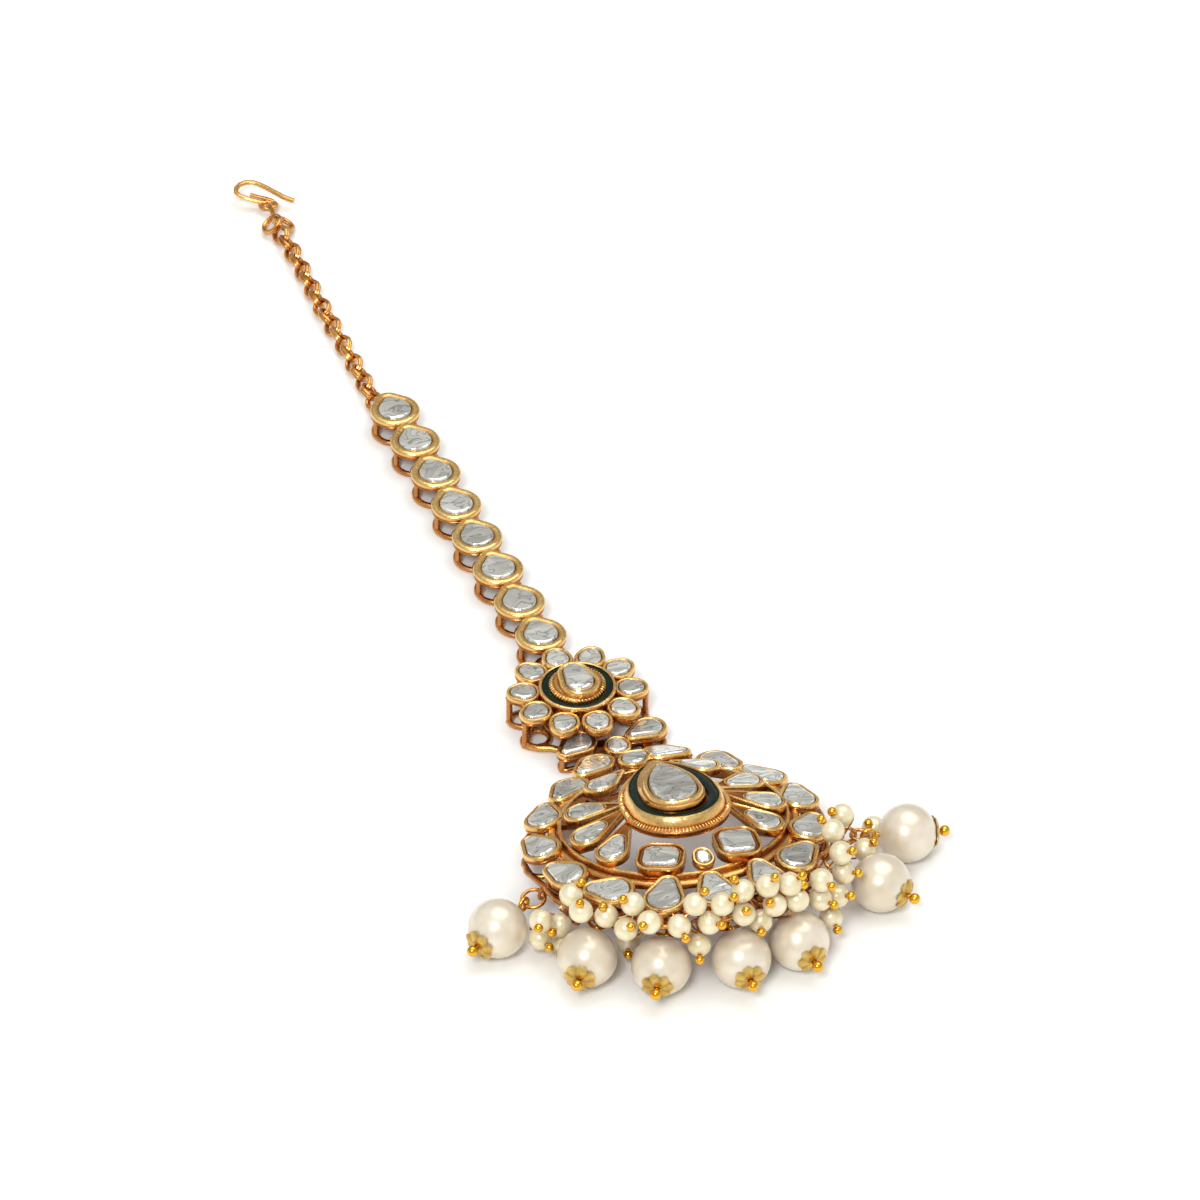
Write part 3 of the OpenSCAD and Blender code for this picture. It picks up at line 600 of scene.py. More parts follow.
addWall(bm, rosetteSpot, rowsOn(hub, [
    (-0.1, -1.8, 0.9), (0, -1.6, 0.8), (0, 0.2, 0.5), (0.03, 0.45, 0.15), (-0.08, 0.66, 0),
    (-0.25, 0.7, 0), (-0.42, 0.62, 0.2), (-0.46, 0.3, 0.9), (-0.46, 0.1, 1)]), 72)
addWall(bm, rosetteSpot, rowsOn(collar, [
    (0.05, 0, 1), (0.05, 0.62, 0.7), (-0.05, 0.8, 0.4), (-0.3, 1.08, 0.35), (-0.5, 1.2, 0.6),
    (-0.55, 1.24, 0.3), (-0.8, 1.3, 0.1), (-1.1, 1.28, 0.6)]), 60)
addMilling(bm, rosetteSpot, collar, -0.12, 0.88, *rosette["ridges"], 0.7)
addWall(bm, rosetteSpot, rowsOn(rosettePear, [
    (0.85, 1.1, 0.8), (0.78, 1.35, 0.4), (0.74, 1.7, 0.15), (0.66, 1.95, 0.02), (0.5, 2.08, 0),
    (0.28, 2.08, 0), (0.06, 1.98, 0.25), (0.0, 1.8, 0.8), (-0.04, 1.1, 1)]), 60)
backSpot = rosetteSpot @ Matrix.Translation((0, 0, post - rosette["height"]))
addWire(bm, backSpot, circlePoints(rosette["backRing"], 48), post, 10, True)
roughCast(bm, 0.03)
finishGold("rosetteGold", bm, "rosette_frame")
finishStones("rosettePetalStones", stones, "rosette_petal_stones")
bm = newStones()
addStone(bm, rosetteSpot @ Matrix.Translation((0, 0, rosette["stoneHeight"])), rosettePear, 0.42, 5, 0.8)
finishStones("rosetteCentreStone", bm, "rosette_stone")
bm = bmesh.new()
addWall(bm, rosetteSpot, rowsOn(hub, [
    (-0.5, 0.15, 0), (-0.5, 0.5, 0), (-0.62, 0.56, 0), (-1.38, 0.56, 0), (-1.5, 0.5, 0),
    (-1.5, 0.15, 0)]), 72, True)
finishPiece("rosetteEnamelRing", bm, greenEnamel, ["rosette_enamel"])
print("rosette made")

# Medallion: a domed flower of settings on a double ring, round a raised centre
medallion = {
    "ring": 15.2, "outerRing": 0.65, "gallery": 3.9, "border": (2.15, 1.0, 2.85), "borderDrop": -0.25,
    "leaf": (1.75, 0.9, 2.4), "cushionCorner": 1.3, "tray": (0.7, 0.35),
    # arches: radius of the round end, of the sides and of the tip, straight run, place of the round end
    "tower": (5.65, 10.5, 0.5, 1.4, -3.2), "collet": (4.3, 10.9, 0.4, 1.25, -3.05),
    "centre": (3.05, 8.5, 0.4, 0.8, -3.75), "top": 6.2,
    "towerShift": (-0.2, 0.3, 0), "colletShift": (-0.4, 0.7, 0), "ridges": (0.46, (0.44, 0.16, 0.25)),
    "tiny": (1, 0.9, 0.5), "tinyAt": (0, -14, 1.4, 20),
    "oval": (1.6, 0.9, 1.3), "ovalAt": (0, 18.6, 0.2, -65), "lean": 10,
    "eyeReach": 20.4, "eyeShift": 0.9, "eyeWire": 0.44,
    # across, along, direction of the tip, share of the full size and lean: the front one, seven on
    # the right from the front to the back, seven on the left
    "borderRows": [(-0.2, -19.5, 90, 1, 12), (7, -18.4, 99, 0.95, 12), (12.8, -15, 42, 1, 12),
                   (16.6, -7.9, 58, 1, 12), (17.6, 0.8, 85, 1.03, 12), (15, 8.4, 123, 1.05, 12),
                   (10.8, 14.1, -50, 0.98, 2), (4.9, 19.6, -25, 0.95, 10), (-6.8, -18.5, 62, 1.04, 12),
                   (-13.4, -14.5, 145, 0.98, 12), (-17.5, -7.8, 120, 0.94, 12), (-18.6, 0.5, 105, 0.96, 12),
                   (-15.6, 8.5, 70, 1, 12), (-10.6, 14.4, 225, 1, 8), (-5.5, 19.7, 218, 0.98, 5)],
    # across, along, direction of the tip, height and reach of the blade, for the right half
    "leafRows": [(10.3, -7.1, 128, 1.6, 6.6), (12, -2.1, 155, 1.7, 6.9), (10.9, 3.8, 200, 1.8, 6),
                 (6.6, 9.9, 145, 2.2, 4.6)],
    # across, along, turn, height, width, length
    "cushionRows": [(-5.3, -12, -25, 1.7, 4.9, 4), (5.3, -11.8, -2, 1.7, 4.6, 4.7)]}


def bothSides(rows):
    return list(rows) + [(-x, y, 180 - turn, *rest) for x, y, turn, *rest in rows]


def leaned(x, y, height, lean=medallion["lean"]):
    outward = math.atan2(y, x)
    spot = onFace @ Matrix.Translation((x, y, height)) @ Matrix.Rotation(outward, 4, "Z")
    return spot @ spun(lean, "Y") @ Matrix.Rotation(-outward, 4, "Z")


leafPear = pearOutline(*medallion["leaf"])
leafMiddle = pearMiddle(*medallion["leaf"])
leafRows = bothSides(medallion["leafRows"])

# Border settings with their stones
bm = bmesh.new()
for number, (x, y, turn, size, lean) in enumerate(medallion["borderRows"], 1):
    ownPear = pearOutline(*(size * part for part in medallion["border"]))
    spot = onFace @ placeAt(x, y, 0, turn - 90)
    addOutlineWire(bm, spot, ownPear, setting["rim"] - 0.05 - post, post - medallion["gallery"], post)
    reach = pearReach(*medallion["border"])
    for away in (-reach, reach):
        addPost(bm, spot, 0, away, -0.9, 0.2 - medallion["gallery"])
    # The cups lean outwards a little, as bent to the dome
    spot = leaned(x, y, medallion["borderDrop"], lean) @ spun(turn - 90, "Z")
    addCup(bm, spot, ownPear)
    stone = newStones()
    addStone(stone, spot, ownPear)
    finishStones(f"borderStone{number}", stone, f"border_stone_{number}")
roughCast(bm)
finishGold("borderSettings", bm, "medallion_frame")

# The double ring, and the wires behind it
bm = bmesh.new()
ring = roundOutline(medallion["ring"])
addWall(bm, onFace, rowsOn(ring, [
    (-0.2, -1.5, 0.9), (-0.34, -1.3, 0.85), (-0.36, -0.25, 0.6), (-0.25, 0.03, 0.1),
    (-0.02, 0.12, 0), (0.22, 0.04, 0.05), (0.32, -0.2, 0.5), (0.36, -0.62, 0.9), (0.5, -0.66, 0.7),
    (0.7, -0.52, 0.15), (1.0, -0.48, 0.1), (1.35, -0.56, 0.25), (1.58, -0.8, 0.5),
    (1.6, -1.35, 0.8), (1.5, -1.5, 0.9)]), 144, True)
behind = onFace @ Matrix.Translation((0, 0, post - medallion["gallery"]))
backReach = medallion["ring"] + medallion["outerRing"]
addWire(bm, behind, circlePoints(backReach, 96), post, 10, True, 0.55)
eyeBand = Matrix.Translation((0, medallion["eyeShift"], 0))
frontArc = circlePoints(medallion["eyeReach"], 72, -183, 3)
addWire(bm, behind @ eyeBand, frontArc, medallion["eyeWire"], 10, False, 0.55)
for angle in range(12, 360, 24):
    at = turned(backReach, 0, angle)
    addPost(bm, onFace, at.x, at.y, -1.3, 0.2 - medallion["gallery"])
roughCast(bm, 0.03)
finishGold("doubleRing", bm)

# Inner field: leaves on gold blades that run to the tower, two cushions and two small stones. Bearers
# carry the leaves from the double ring: each foot and riser is [distance from the centre, length]
bearer = {"foot": (13.6, 3.2), "riser": (12.9, 1), "wide": 1.2, "thick": 0.9, "under": 0.68}
blade = {"rim": 0.55, "tip": 0.3}
bm = bmesh.new()
stones = newStones()
for x, y, turn, height, reach in leafRows:
    spot = leaned(x, y, height) @ spun(turn - 90, "Z")
    long = pearOutline(medallion["leaf"][0] + blade["rim"], blade["tip"], reach, leafMiddle)
    addWall(bm, spot, rowsOn(long, [
        (-0.1, -1.15, 0.9), (0, -1.05, 0.8), (0, -0.6, 0.6), (0.05, -0.38, 0.2),
        (0.04, -0.15, 0.03), (-0.08, 0.02, 0), (-0.22, 0.02, 0), (-0.34, -0.12, 0.45)]) + rowsOn(leafPear, [
        (0.34, -0.2, 0.75), (0.28, -0.03, 0.2), (0.18, 0.05, 0), (0.07, 0.0, 0.1), (0, -0.16, 0.75),
        (-0.04, -0.78, 1)]), 56)
    addStone(stones, spot, leafPear)
    along = onFace @ Matrix.Rotation(math.atan2(y, x), 4, "Z")
    at, length = bearer["foot"]
    footSpot = along @ Matrix.Translation((at, 0, -bearer["thick"] / 2))
    addBar(bm, footSpot, (length, bearer["wide"], bearer["thick"]))
    at, length = bearer["riser"]
    rise = height - bearer["under"]
    addBar(bm, along @ Matrix.Translation((at, 0, rise / 2 - 0.5)), (length, bearer["wide"], rise))
for x, y, turn, height, width, length in medallion["cushionRows"]:
    corner = medallion["cushionCorner"]
    wider, rounder = medallion["tray"]
    cushion = cushionOutline(width, length, corner)
    tray = cushionOutline(width + wider, length + wider, corner + rounder)
    spot = leaned(x, y, height) @ spun(turn, "Z")
    addWall(bm, spot, rowsOn(tray, [
        (0.35, -1.5, 0.9), (0.42, -1.3, 0.8), (0.42, -0.6, 0.6), (0.47, -0.36, 0.2),
        (0.45, -0.12, 0.03), (0.34, 0.05, 0), (0.2, 0.05, 0), (0.08, -0.1, 0.4),
        (0.0, -0.3, 0.85)]) + rowsOn(cushion, [
        (0.22, -0.3, 0.8), (0.16, -0.14, 0.4), (0.06, -0.12, 0.3), (0.0, -0.3, 0.9),
        (-0.04, -0.78, 1)]), 64)
    addStone(stones, spot, cushion, 0.24, 6, 0.8)
tinyPear = pearOutline(*medallion["tiny"], 0)
tinySpot = leaned(*medallion["tinyAt"])
addCup(bm, tinySpot, tinyPear, setting["smallRim"], count=32)
addStone(stones, tinySpot, tinyPear, 0.18, 3, 0.4, 28)
ovalPear = pearOutline(*medallion["oval"], 0)
ovalSpot = onFace @ placeAt(*medallion["ovalAt"])
addCup(bm, ovalSpot, ovalPear, setting["smallRim"], count=32)
addStone(stones, ovalSpot, ovalPear, 0.2, 4, 0.5, 32)
roughCast(bm, 0.03)
finishGold("innerField", bm)
finishStones("innerStones", stones, "leaf_stones")

# Tower: a short skirt, a milled shoulder, a steep bright ring, the enamel channel and the centre collet
bm = bmesh.new()
onTower = onFace @ Matrix.Translation(medallion["towerShift"])
onCollet = onFace @ Matrix.Translation(medallion["colletShift"])
tower = archOutline(*medallion["tower"])
collet = archOutline(*medallion["collet"])
centre = archOutline(*medallion["centre"])
addWall(bm, onTower, rowsOn(tower, [
    (0.6, 2.35, 1), (1.1, 2.3, 0.95), (1.3, 2.4, 0.8), (1.24, 2.65, 0.62), (1.3, 2.9, 0.7),
    (1.46, 3.05, 0.5), (1.5, 3.2, 0.3), (1.42, 3.36, 0.5), (0.95, 3.56, 0.75), (0.84, 3.6, 0.85),
    (0.8, 3.75, 0.5), (0.76, 4.0, 0.15), (0.6, 4.5, 0.08), (0.4, 4.85, 0), (0.24, 5.0, 0),
    (0.08, 5.0, 0.02), (0.0, 4.85, 0.5), (-0.02, 4.5, 1)]), 132)
addMilling(bm, onTower, tower, 1.2, 3.5, *medallion["ridges"], 0.45)
top = medallion["top"]
addWall(bm, onCollet, rowsOn(collet, [
    (0.02, 4.4, 1), (0.02, 4.85, 0.8), (-0.05, 5.05, 0.4), (-0.12, 5.3, 0.2)]) + rowsOn(centre, [
    (1.0, 5.5, 0.12), (0.94, 5.66, 0.35), (0.78, 5.74, 0.6), (0.76, 5.86, 0.2), (0.7, 6.06, 0),
    (0.56, top + 0.04, 0), (0.4, top + 0.08, 0), (0.2, top + 0.02, 0.1), (0.05, top - 0.14, 0.5),
    (0.0, top - 0.3, 0.95), (-0.04, top - 0.78, 1)]), 96)
roughCast(bm, 0.03)
finishGold("centreTower", bm)
bm = bmesh.new()
addWall(bm, onTower, rowsOn(tower, [
    (-0.05, 4.56, 0), (-0.05, 4.84, 0), (-0.16, 4.9, 0)]) + rowsOn(collet, [
    (0.16, 4.9, 0), (0.05, 4.84, 0), (0.05, 4.56, 0)]), 120, True)
finishPiece("centreEnamelRing", bm, greenEnamel, ["medallion_enamel"])
bm = newStones()
addStone(bm, onCollet @ Matrix.Translation((0, 0, top)), centre, 0.42, 7, 1.2, 56)
finishStones("centreStoneCut", bm, "centre_stone")
print("medallion made")

# Crown between the rosette and the medallion, standing on its own wires. A thick wire runs at the
# left from the rosette's back to the crown's foot, and bars behind join the crown to the double ring
crown = {"height": 3.2, "leaf": (1.85, 0.7, 2.6),
         # across, along, direction of the tip and lean towards the front
         "leaves": [(-5.9, 25.7, 212, 1), (4.1, 26.2, 200, -5)],
         "round": (1.4, 1.3, 0.3), "roundAt": (-0.5, 23.9, 90),
         "foot": [(-9.6, 34.4, 0.62), (-10.3, 33.2, 0.6), (-11.2, 31.2, 0.6), (-11, 30, 0.6),
                  (-10, 29.3, 0.6), (-8.4, 28.8, 0.6), (-6.8, 27.6, 0.6)], "footWire": 0.5,
         # bars: across and along from their middle, width and length
         "barAt": (-0.5, 25.9), "barDrop": 1.5, "barThick": 1.2,
         "bars": [(0, 0, 9.5, 1.6), (4.3, -3.4, 1.3, 5.4), (-4.3, -3.4, 1.3, 5.4), (0, -4.2, 1.3, 7)]}
bm = bmesh.new()
stones = newStones()
for x, y, turn, lean in crown["leaves"]:
    spot = placeAt(x, y, crown["height"], turn - 90)
    crownPear = pearOutline(*crown["leaf"])
    addOutlineWire(bm, spot, crownPear, setting["rim"] - 0.05 - post, post - crown["height"], post)
    reach = pearReach(*crown["leaf"])
    for away in (-reach, reach):
        addPost(bm, spot, 0, away, -0.95, 0.25 - crown["height"])
    spot = placeAt(x, y, crown["height"]) @ spun(lean, "X") @ spun(turn - 90, "Z")
    addCup(bm, spot, crownPear)
    addStone(stones, spot, crownPear)
addWire(bm, Matrix(), crown["foot"], crown["footWire"], 10, False, 0.3)
x, y, turn = crown["roundAt"]
roundPear = pearOutline(*crown["round"])
roundSpot = placeAt(x, y, crown["height"], turn - 90)
addCup(bm, roundSpot, roundPear, setting["smallRim"], count=36)
addStone(stones, roundSpot, roundPear, 0.2, 4, 0.5, 32)
for x, y, width, length in crown["bars"]:
    spot = Matrix.Translation((
        crown["barAt"][0] + x, crown["barAt"][1] + y, crown["height"] - crown["barDrop"]))
    addBar(bm, spot, (width, length, crown["barThick"]))
roughCast(bm, 0.03)
finishGold("crownSettings", bm)
finishStones("crownStones", stones, "crown_stones")
print("crown made")

# Large pearls on head pins: [x, y, direction of the pin]
pearls = {
    "size": 8, "uneven": 0.006, "dip": 6, "tail": 0.6, "eye": 0.85, "wire": 0.28, "hole": 0.4,
    "rows": [(-27.1, -9.3, -146), (-17.5, -18.4, -122), (-8.7, -22.8, -115), (1.8, -24.4, -90),
             (10.2, -23.2, -80), (24.2, -15, -48), (30.8, -6.2, -4)]}
bunches = {"directions": [-148, -122, -97, -73, -46, -20], "drop": 2.7, "outward": 0.1}


def pinPlace(x, y, turn):
    dip = spun(pearls["dip"], "Y")
    return placeAt(x, y, pearls["size"] / 2, turn) @ dip


def edgeEye(angle):
    reach = medallion["eyeReach"]
    low = 0.1 - medallion["gallery"] - pearls["eye"]
    return onFace @ Vector((reach * math.cos(angle), reach * math.sin(angle) + medallion["eyeShift"], low))


# Eyes under the front edge
bm = bmesh.new()
upright = spun(90, "X")
eyes = [(math.radians(d), d) for d in bunches["directions"]]
for x, y, turn in pearls["rows"]:
    loop = pinPlace(x, y, turn) @ Vector((-pearls["size"] / 2 - pearls["tail"] - pearls["eye"], 0, 0))
    eyes.append((math.atan2(loop.y, loop.x), turn))
for angle, turn in eyes:
    spot = Matrix.Translation(edgeEye(angle)) @ spun(turn, "Z") @ upright
    addWire(bm, spot, circlePoints(pearls["eye"], 20), pearls["wire"], 8, True, 0.5)
finishGold("edgeEyes", bm)


# Point on a unit ball: bend is measured from its axis
def ballPoint(around, bend, squash=1.0):
    return Vector((
        math.cos(around) * math.sin(bend), math.sin(around) * math.sin(bend), squash * math.cos(bend)))


alongX = spun(90, "Y")
caps = bmesh.new()
# Petals reach from the hole to the tips and valleys, as angles from the pin seen from the pearl's middle
capLook = {"petals": 7, "tip": 0.54, "valley": 0.41, "hole": 0.1, "clear": 0.2, "flare": 0.1, "rib": 0.16,
           "sheet": 0.15}
for number, (x, y, turn) in enumerate(pearls["rows"], 1):
    spot = pinPlace(x, y, turn)
    bm = bmesh.new()
    radius = pearls["size"] / 2
    opening = math.asin(pearls["hole"] / radius)
    steps = 26
    for v in stackRings(bm, 48, steps, True):
        # From one end of the hole over the bead to the other end
        bend = opening + (math.pi - 2 * opening) * round(v.co.z) / (steps - 1)
        around = math.atan2(v.co.y, v.co.x)
        flat = ballPoint(around, bend)
        bulge = noise.noise(flat * 1.3 + Vector((number, 0, 0))) - 1
        v.co = spot @ alongX @ (flat * radius * (1 + pearls["uneven"] * bulge))
    finishPiece(f"largePearl{number}", bm, pearlLacquer, [f"pearl_{number}"])
    # Star cap: a stamped disc of pointed petals bent over the bead
    layer = patinaAndShadeLayer(caps)
    turnCap = Matrix.Rotation(random.uniform(0, 1), 4, "Z")
    levels = 6
    cap = stackRings(caps, 60, levels, False)
    ends = [f for f in linked(cap, "link_faces") if len(f.verts) > 4]
    bmesh.ops.delete(caps, geom=ends, context="FACES_ONLY")
    for v in cap:
        share = round(v.co.z) / (levels - 1)
        around = math.atan2(v.co.y, v.co.x)
        phase = (around * capLook["petals"] / math.tau) % 1
        petal = math.sin(math.pi * phase) ** 0.7
        edge = capLook["valley"] + (capLook["tip"] - capLook["valley"]) * petal
        bend = capLook["hole"] + (edge - capLook["hole"]) * share
        rib = capLook["rib"] * petal * math.sin(math.pi * share)
        lift = radius + capLook["clear"] + rib + capLook["flare"] * petal * share ** 3
        # Patina and painted shade: darker in the valleys between the petals and towards the hole
        v[layer] = 0.55 * (1 - petal) * share + 0.25 * (1 - share)
        v.co = spot @ alongX @ turnCap @ (lift * ballPoint(around, bend))
    sheet = linked(cap, "link_faces")
    bmesh.ops.recalc_face_normals(caps, faces=sheet)
    bmesh.ops.solidify(caps, geom=sheet, thickness=capLook["sheet"])
finishPiece("starCaps", caps, capBrass, ["pearl_caps"], 50)
print("large pearls made")

# Small pearls in two bunches: [x, y, z, direction of the pin, its rise]
seeds = {
    "size": 3.2, "tail": 0.2, "pin": 0.22, "ball": 0.64, "strand": 0.13, "bare": 0.7, "lowest": 0.4,
    "wobble": 0.5, "squash": (0.95, 1.0),
    "left": [
        (-22.4, -13.6, 7.6, -115, 15), (-21.9, -11.6, 2.9, -75, 0), (-19.4, -12.4, 5.2, -135, 10),
        (-18.7, -12.1, 1.7, -120, -10), (-18.5, -14.4, 11.7, 5, 50), (-18.3, -18.2, 12, -115, 65),
        (-14.8, -18.1, 10.2, -140, 70), (-11.8, -20.2, 13.2, -160, 45), (-13, -21.1, 10, -85, 45),
        (-10.5, -23.2, 12.2, -130, 25), (-11, -15.3, 2.7, -105, -10), (-6.6, -23.9, 11.2, -85, -10),
        (-4.4, -23.7, 14.2, 0, 55), (-3.8, -23.8, 7.2, -105, -20), (-2.6, -24.4, 11.2, -60, 20)],
    "right": [
        (-1, -24.7, 14.2, -35, 45), (2.1, -23.7, 14.9, 165, 60), (2, -24.6, 11.7, -95, 50),
        (5.4, -24, 15.2, -50, 60), (6.4, -24.1, 11.8, -130, 45), (4.8, -23.2, 8.7, -105, 0),
        (8.6, -23.6, 14.4, -25, 45), (9.8, -23.2, 11.1, 20, 65), (13.7, -21, 8.5, -55, 5),
        (13.7, -21.3, 12, -70, 10), (16.8, -19, 6.7, -50, 25), (15.9, -19.2, 3.4, -85, -10),
        (18.4, -16.6, 8.4, -45, 20), (17.9, -16.7, 12, -55, 35), (23.8, -9.3, 5.2, -45, 55),
        (18, -12.9, 12.7, 145, 45), (21.4, -6.7, 9.7, -160, 40), (27.7, -1.4, 1.9, -140, 50)]}


def bunchCore(direction):
    angle = math.radians(direction)
    aside = bunches["outward"]
    return edgeEye(angle) - bunches["drop"] * Vector((aside * math.cos(angle), aside * math.sin(angle), 1))


# Smooth curve through points, three steps to each stretch
def smoothPath(bends):
    path = []
    for k in range(len(bends) - 1):
        p0, p1, p2, p3 = (bends[max(k - 1, 0)], bends[k], bends[k + 1], bends[min(k + 2, len(bends) - 1)])
        for t in (0, 0.33, 0.67):
            path.append(0.5 * (2 * p1 + (p2 - p0) * t + (2 * p0 - 5 * p1 + 4 * p2 - p3) * t ** 2
                               + (3 * p1 - p0 - 3 * p2 + p3) * t ** 3))
    return path + [bends[-1]]


cores = [bunchCore(d) for d in bunches["directions"]]
strands = bmesh.new()
for side in ("left", "right"):
    bm = bmesh.new()
    pins = bmesh.new()
    for x, y, z, turn, rise in seeds[side]:
        spot = placeAt(x, y, z, turn) @ spun(-rise, "Y") @ alongX
        radius = seeds["size"] / 2
        opening = math.asin((seeds["pin"] + 0.08) / radius)
        steps = 14
        squash = random.uniform(*seeds["squash"])
        for v in stackRings(bm, 24, steps, True):
            bend = opening + (math.pi - 2 * opening) * round(v.co.z) / (steps - 1)
            v.co = spot @ (radius * ballPoint(math.atan2(v.co.y, v.co.x), bend, squash))
        shaft = [(0, 0, -radius - seeds["tail"]), (0, 0, 0), (0, 0, radius + 0.3)]
        addWire(pins, spot, shaft, seeds["pin"], 10, False, 0.4)
        ballSpot = spot @ Matrix.Translation((0, 0, radius + seeds["ball"] + 0.03))
        bmesh.ops.create_uvsphere(pins, u_segments=16, v_segments=10, radius=seeds["ball"], matrix=ballSpot)
        # Bare tail of the pin, bent over to the ring that the bunch hangs on
        inner = spot @ Vector((0, 0, -radius - seeds["tail"]))
        away = spot @ Vector((0, 0, -radius - seeds["tail"] - seeds["bare"]))
        away.z = max(away.z, seeds["lowest"])
        core = min(cores, key=lambda c: (c - away).length)
        wobble = noise.noise_vector(inner) * seeds["wobble"]
        bends = [inner, away, away.lerp(core, 0.35) + wobble, away.lerp(core, 0.7) + wobble * 0.6, core]
        addWire(strands, Matrix(), smoothPath(bends), seeds["strand"], 6, False, 0.2)
    finishPiece(f"smallPearls{side.title()}", bm, seedLacquer, [f"small_pearls_{side}"])
    finishPiece(f"smallPins{side.title()}", pins, pinGold, [f"small_pins_{side}"])
finishPiece("pinStrands", strands, ringGold)
print("small pearls made")

# Chain: double-wound links that lean left and right in turn, down the middle of their places on the table
chain = {"pitch": 2.45, "height": 1.38, "half": (1.17, 1.52), "wire": 0.27, "beside": 0.17,
         "lean": 44, "sway": 9, "twist": 0.09,
         "run": [(-10.45, 110.6), (-10.7, 118.7), (-11.2, 128.4), (-11.6, 135.3), (-11.8, 142.9),
                 (-12.1, 150.7), (-12.5, 154)],
         # jump rings: place, lean and turn
         "jumps": [(-13.1, 156.6, 1.6, -34, -12), (-11.5, 156.4, 1.5, 30, 10)], "jumpHalf": (1.5, 1.6),
         "lastAt": (-12.2, 159.7, 1.3, 2), "lastLean": 70, "lastHalf": (0.9, 1.75), "ringWire": 0.28}


def addLink(bm, spot, half, wire, beside):
    for shift in (-beside, beside):
        ring = [(half[0] * x, half[1] * y, shift) for x, y, _ in circlePoints(1, 22)]
        addWire(bm, spot, ring, wire, 8, True, 0.2)


bm = bmesh.new()
points = [Vector((*p, 0)) for p in chain["run"]]
length = sum((b - a).length for a, b in zip(points, points[1:]))
count = round(length / chain["pitch"])
for k in range(count + 1):
    goal, leg = length * k / count, 0
    while leg < len(points) - 2 and goal > (points[leg + 1] - points[leg]).length:
        goal -= (points[leg + 1] - points[leg]).length
        leg += 1
    ahead = (points[leg + 1] - points[leg]).normalized()
    at = points[leg] + ahead * goal
    sway = chain["lean"] * (1 if k % 2 else -1) + random.uniform(-chain["sway"], chain["sway"])
    spot = placeAt(at.x, at.y, chain["height"], math.degrees(math.atan2(ahead.y, ahead.x)) - 90)
    twist = Matrix.Rotation(random.uniform(-chain["twist"], chain["twist"]), 4, "Z")
    spot = spot @ spun(sway, "Y") @ twist
    addLink(bm, spot, chain["half"], chain["wire"], chain["beside"])
# Two jump rings and a last link up to the hook's eye
for x, y, z, sway, turn in chain["jumps"]:
    spot = placeAt(x, y, z, turn) @ spun(sway, "Y")
    addLink(bm, spot, chain["jumpHalf"], chain["ringWire"], 0.15)
spot = placeAt(*chain["lastAt"]) @ spun(chain["lastLean"], "Y")
addLink(bm, spot, chain["lastHalf"], chain["ringWire"], 0.1)
roughCast(bm, 0.03, 1.1)
finishPiece("oldChain", bm, chainGold, ["hook_chain"])

# Hook: round wire, lightly flattened, with an eye whose end wraps back along the shank
hook = {"wire": 0.4, "flat": 0.8, "eyeAt": (-12.25, 162.1, 1.1, -12), "eye": (1.15, 0.85),
        "shank": [(-12.6, 162.6, 1.3), (-13.4, 162.7, 1.5), (-15, 163.5, 1.9), (-15.95, 164.2, 2.1),
                  (-16.35, 165, 2.2), (-16.1, 165.95, 2.3), (-15.35, 166.75, 2.3), (-14.4, 167.05, 2.3),
                  (-13.4, 166.85, 2.3), (-12.6, 166.1, 2.25), (-11.7, 164.95, 2.2), (-10.85, 163.7, 2.1),
                  (-9.95, 162.4, 2), (-9.3, 161.75, 1.9), (-8.6, 161.15, 1.8)],
        "tail": [(-11.3, 162.6, 1.3), (-12.3, 163.2, 1.6), (-13.3, 163.4, 1.9), (-14.5, 164.0, 2.2)]}
bm = bmesh.new()
eye = [(hook["eye"][0] * x, hook["eye"][1] * y, 0) for x, y, _ in circlePoints(1, 24)]
addWire(bm, placeAt(*hook["eyeAt"]), eye, hook["wire"] * 0.9, 10, True, 0.3)
addWire(bm, Matrix(), hook["shank"], hook["wire"], 12, False, 0.12, hook["flat"])
addWire(bm, Matrix(), hook["tail"], hook["wire"] * 0.8, 8, False, 0.3, hook["flat"])
finishGold("hairHook", bm, "hair_hook")
print("hook and chain made")

# Rings that join collet to collet, the strap to the rosette, and the strap to the chain
joins = {"wire": 0.27, "height": 1.15, "room": 0.77, "tilt": 0.06, "chainEnd": (-0.4, 1.9)}


def addJoin(bm, start, stop):
    middle = (start + stop) / 2
    radius = (start - stop).length / 2 + joins["room"]
    tilt = Matrix.Rotation(random.uniform(-joins["tilt"], joins["tilt"]), 4, "X")
    spot = Matrix.Translation((middle.x, middle.y, joins["height"])) @ tilt
    addWire(bm, spot, circlePoints(radius, 28), joins["wire"], 10, True, 0.25)


bm = bmesh.new()
foot = strap["first"] - strap["postBack"]
for number in range(1, strap["count"]):
    nearEnd = foot + (strap["count"] - number) * strap["pitch"]
    addJoin(bm, onStrap(nearEnd), onStrap(nearEnd - strap["pitch"] + strap["postBack"] + strap["postFront"]))
petalPost = rosette["ring"] + pearReach(*rosette["petal"])
addJoin(bm, onStrap(foot), Vector((*rosette["at"], 0)) + turned(0, petalPost, strap["lean"]))
head = onStrap(strap["first"] + (strap["count"] - 1) * strap["pitch"] + strap["postFront"])
addJoin(bm, head, head + turned(*joins["chainEnd"], strap["lean"]))
finishPiece("joinRings", bm, ringGold, ["join_rings"])


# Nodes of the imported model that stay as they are: their facets are joined and shaded smooth
dress = {"weld": 0.000002, "sharp": 40}


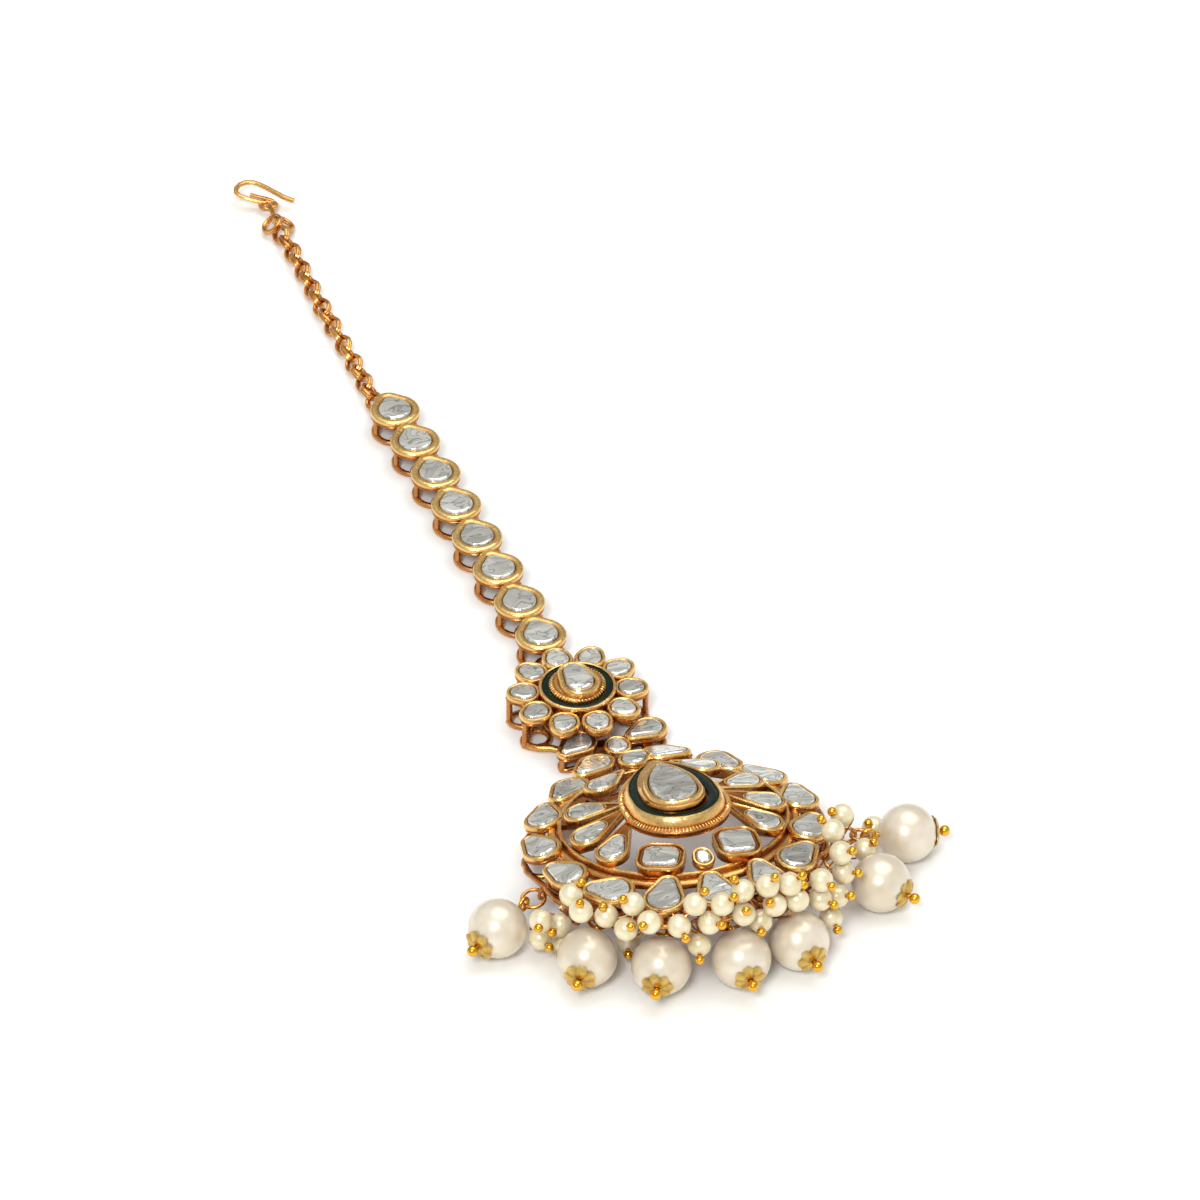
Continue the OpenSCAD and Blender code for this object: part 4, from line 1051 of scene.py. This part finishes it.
def dressNode(name, material):
    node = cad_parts[name]
    node.data.materials.clear()
    node.data.materials.append(material)
    weld = node.modifiers.new("weld", "WELD")
    weld.merge_threshold = dress["weld"]
    for face in node.data.polygons:
        face.use_smooth = True
    smooth = node.modifiers.new("edges", "EDGE_SPLIT")
    smooth.split_angle = math.radians(dress["sharp"])


dressNode("drop_links", ringGold)
dressNode("pearl_pins", pinGold)
print("wire parts dressed")

# Pale floor and soft light
studio = {"floor": 4.0, "fibre": 3, "sky": 0.95, "haze": 3.2,
          "key": 11, "keySize": 0.45, "keyAt": (-0.55, -0.95, 1.15),
          "top": 12, "topSize": 1.6, "topAt": (0.3, 0.2, 1.6)}
floorMesh = bpy.data.meshes.new("floor")
bm = bmesh.new()
bmesh.ops.create_grid(bm, x_segments=1, y_segments=1, size=studio["floor"] / 2)
bm.to_mesh(floorMesh)
bm.free()
floor = bpy.data.objects.new("floor", floorMesh)
bpy.context.scene.collection.objects.link(floor)
floorPaint, tree, where = newMaterial("floorPaper")
fibre = addNoise(tree, where, studio["fibre"], 2)
white = addNode(tree, "ValToRGB", {"Fac": fibre}, [(0.3, "#F6F6F5"), (0.7, "#FBFBFA")])
closeMaterial(tree, addNode(tree, "BsdfPrincipled", {"Base Color": white.outputs[0], "Roughness": 0.9}))
floorMesh.materials.append(floorPaint)


def addPanel(name, at, size, power):
    lamp = bpy.data.lights.new(name, "AREA")
    lamp.shape = "DISK"
    lamp.size = size
    lamp.energy = power
    panel = bpy.data.objects.new(name, lamp)
    panel.location = at
    panel.rotation_euler = (-Vector(at)).to_track_quat("-Z", "Y").to_euler()
    bpy.context.scene.collection.objects.link(panel)


addPanel("keyPanel", studio["keyAt"], studio["keySize"], studio["key"])
addPanel("topPanel", studio["topAt"], studio["topSize"], studio["top"])

world = bpy.data.worlds.new("studioSky")
world.use_nodes = True
bpy.context.scene.world = world
tree = world.node_tree
tree.nodes.clear()
look = addNode(tree, "TexCoord").outputs["Generated"]
split = addNode(tree, "SeparateXYZ", {0: look})
# Greyer behind the object, with soft clouds, so that each stone mirrors a tone of its own
sky = addNode(tree, "ValToRGB", {"Fac": split.outputs["Y"]}, [
    (0.0, "#F6F6F4"), (0.5, "#E2E2DF"), (1, "#C6C6C2")])
haze = addNode(tree, "TexNoise", {"Vector": look, "Scale": studio["haze"], "Detail": 2.0})
shades = addNode(tree, "ValToRGB", {"Fac": haze.outputs["Fac"]}, [
    (0.38, "#A2A29F"), (0.5, "#E6E6E4"), (0.62, "#FFFFFF")])
clouds = addNode(tree, "Mix", {
    0: 1.0, 6: sky.outputs[0], 7: shades.outputs[0]}, data_type="RGBA", blend_type="MULTIPLY")
glow = addNode(tree, "Background", {"Color": clouds.outputs[2], "Strength": studio["sky"]})
addNode(tree, "OutputWorld", {"Surface": glow.outputs[0]})
print("studio made")
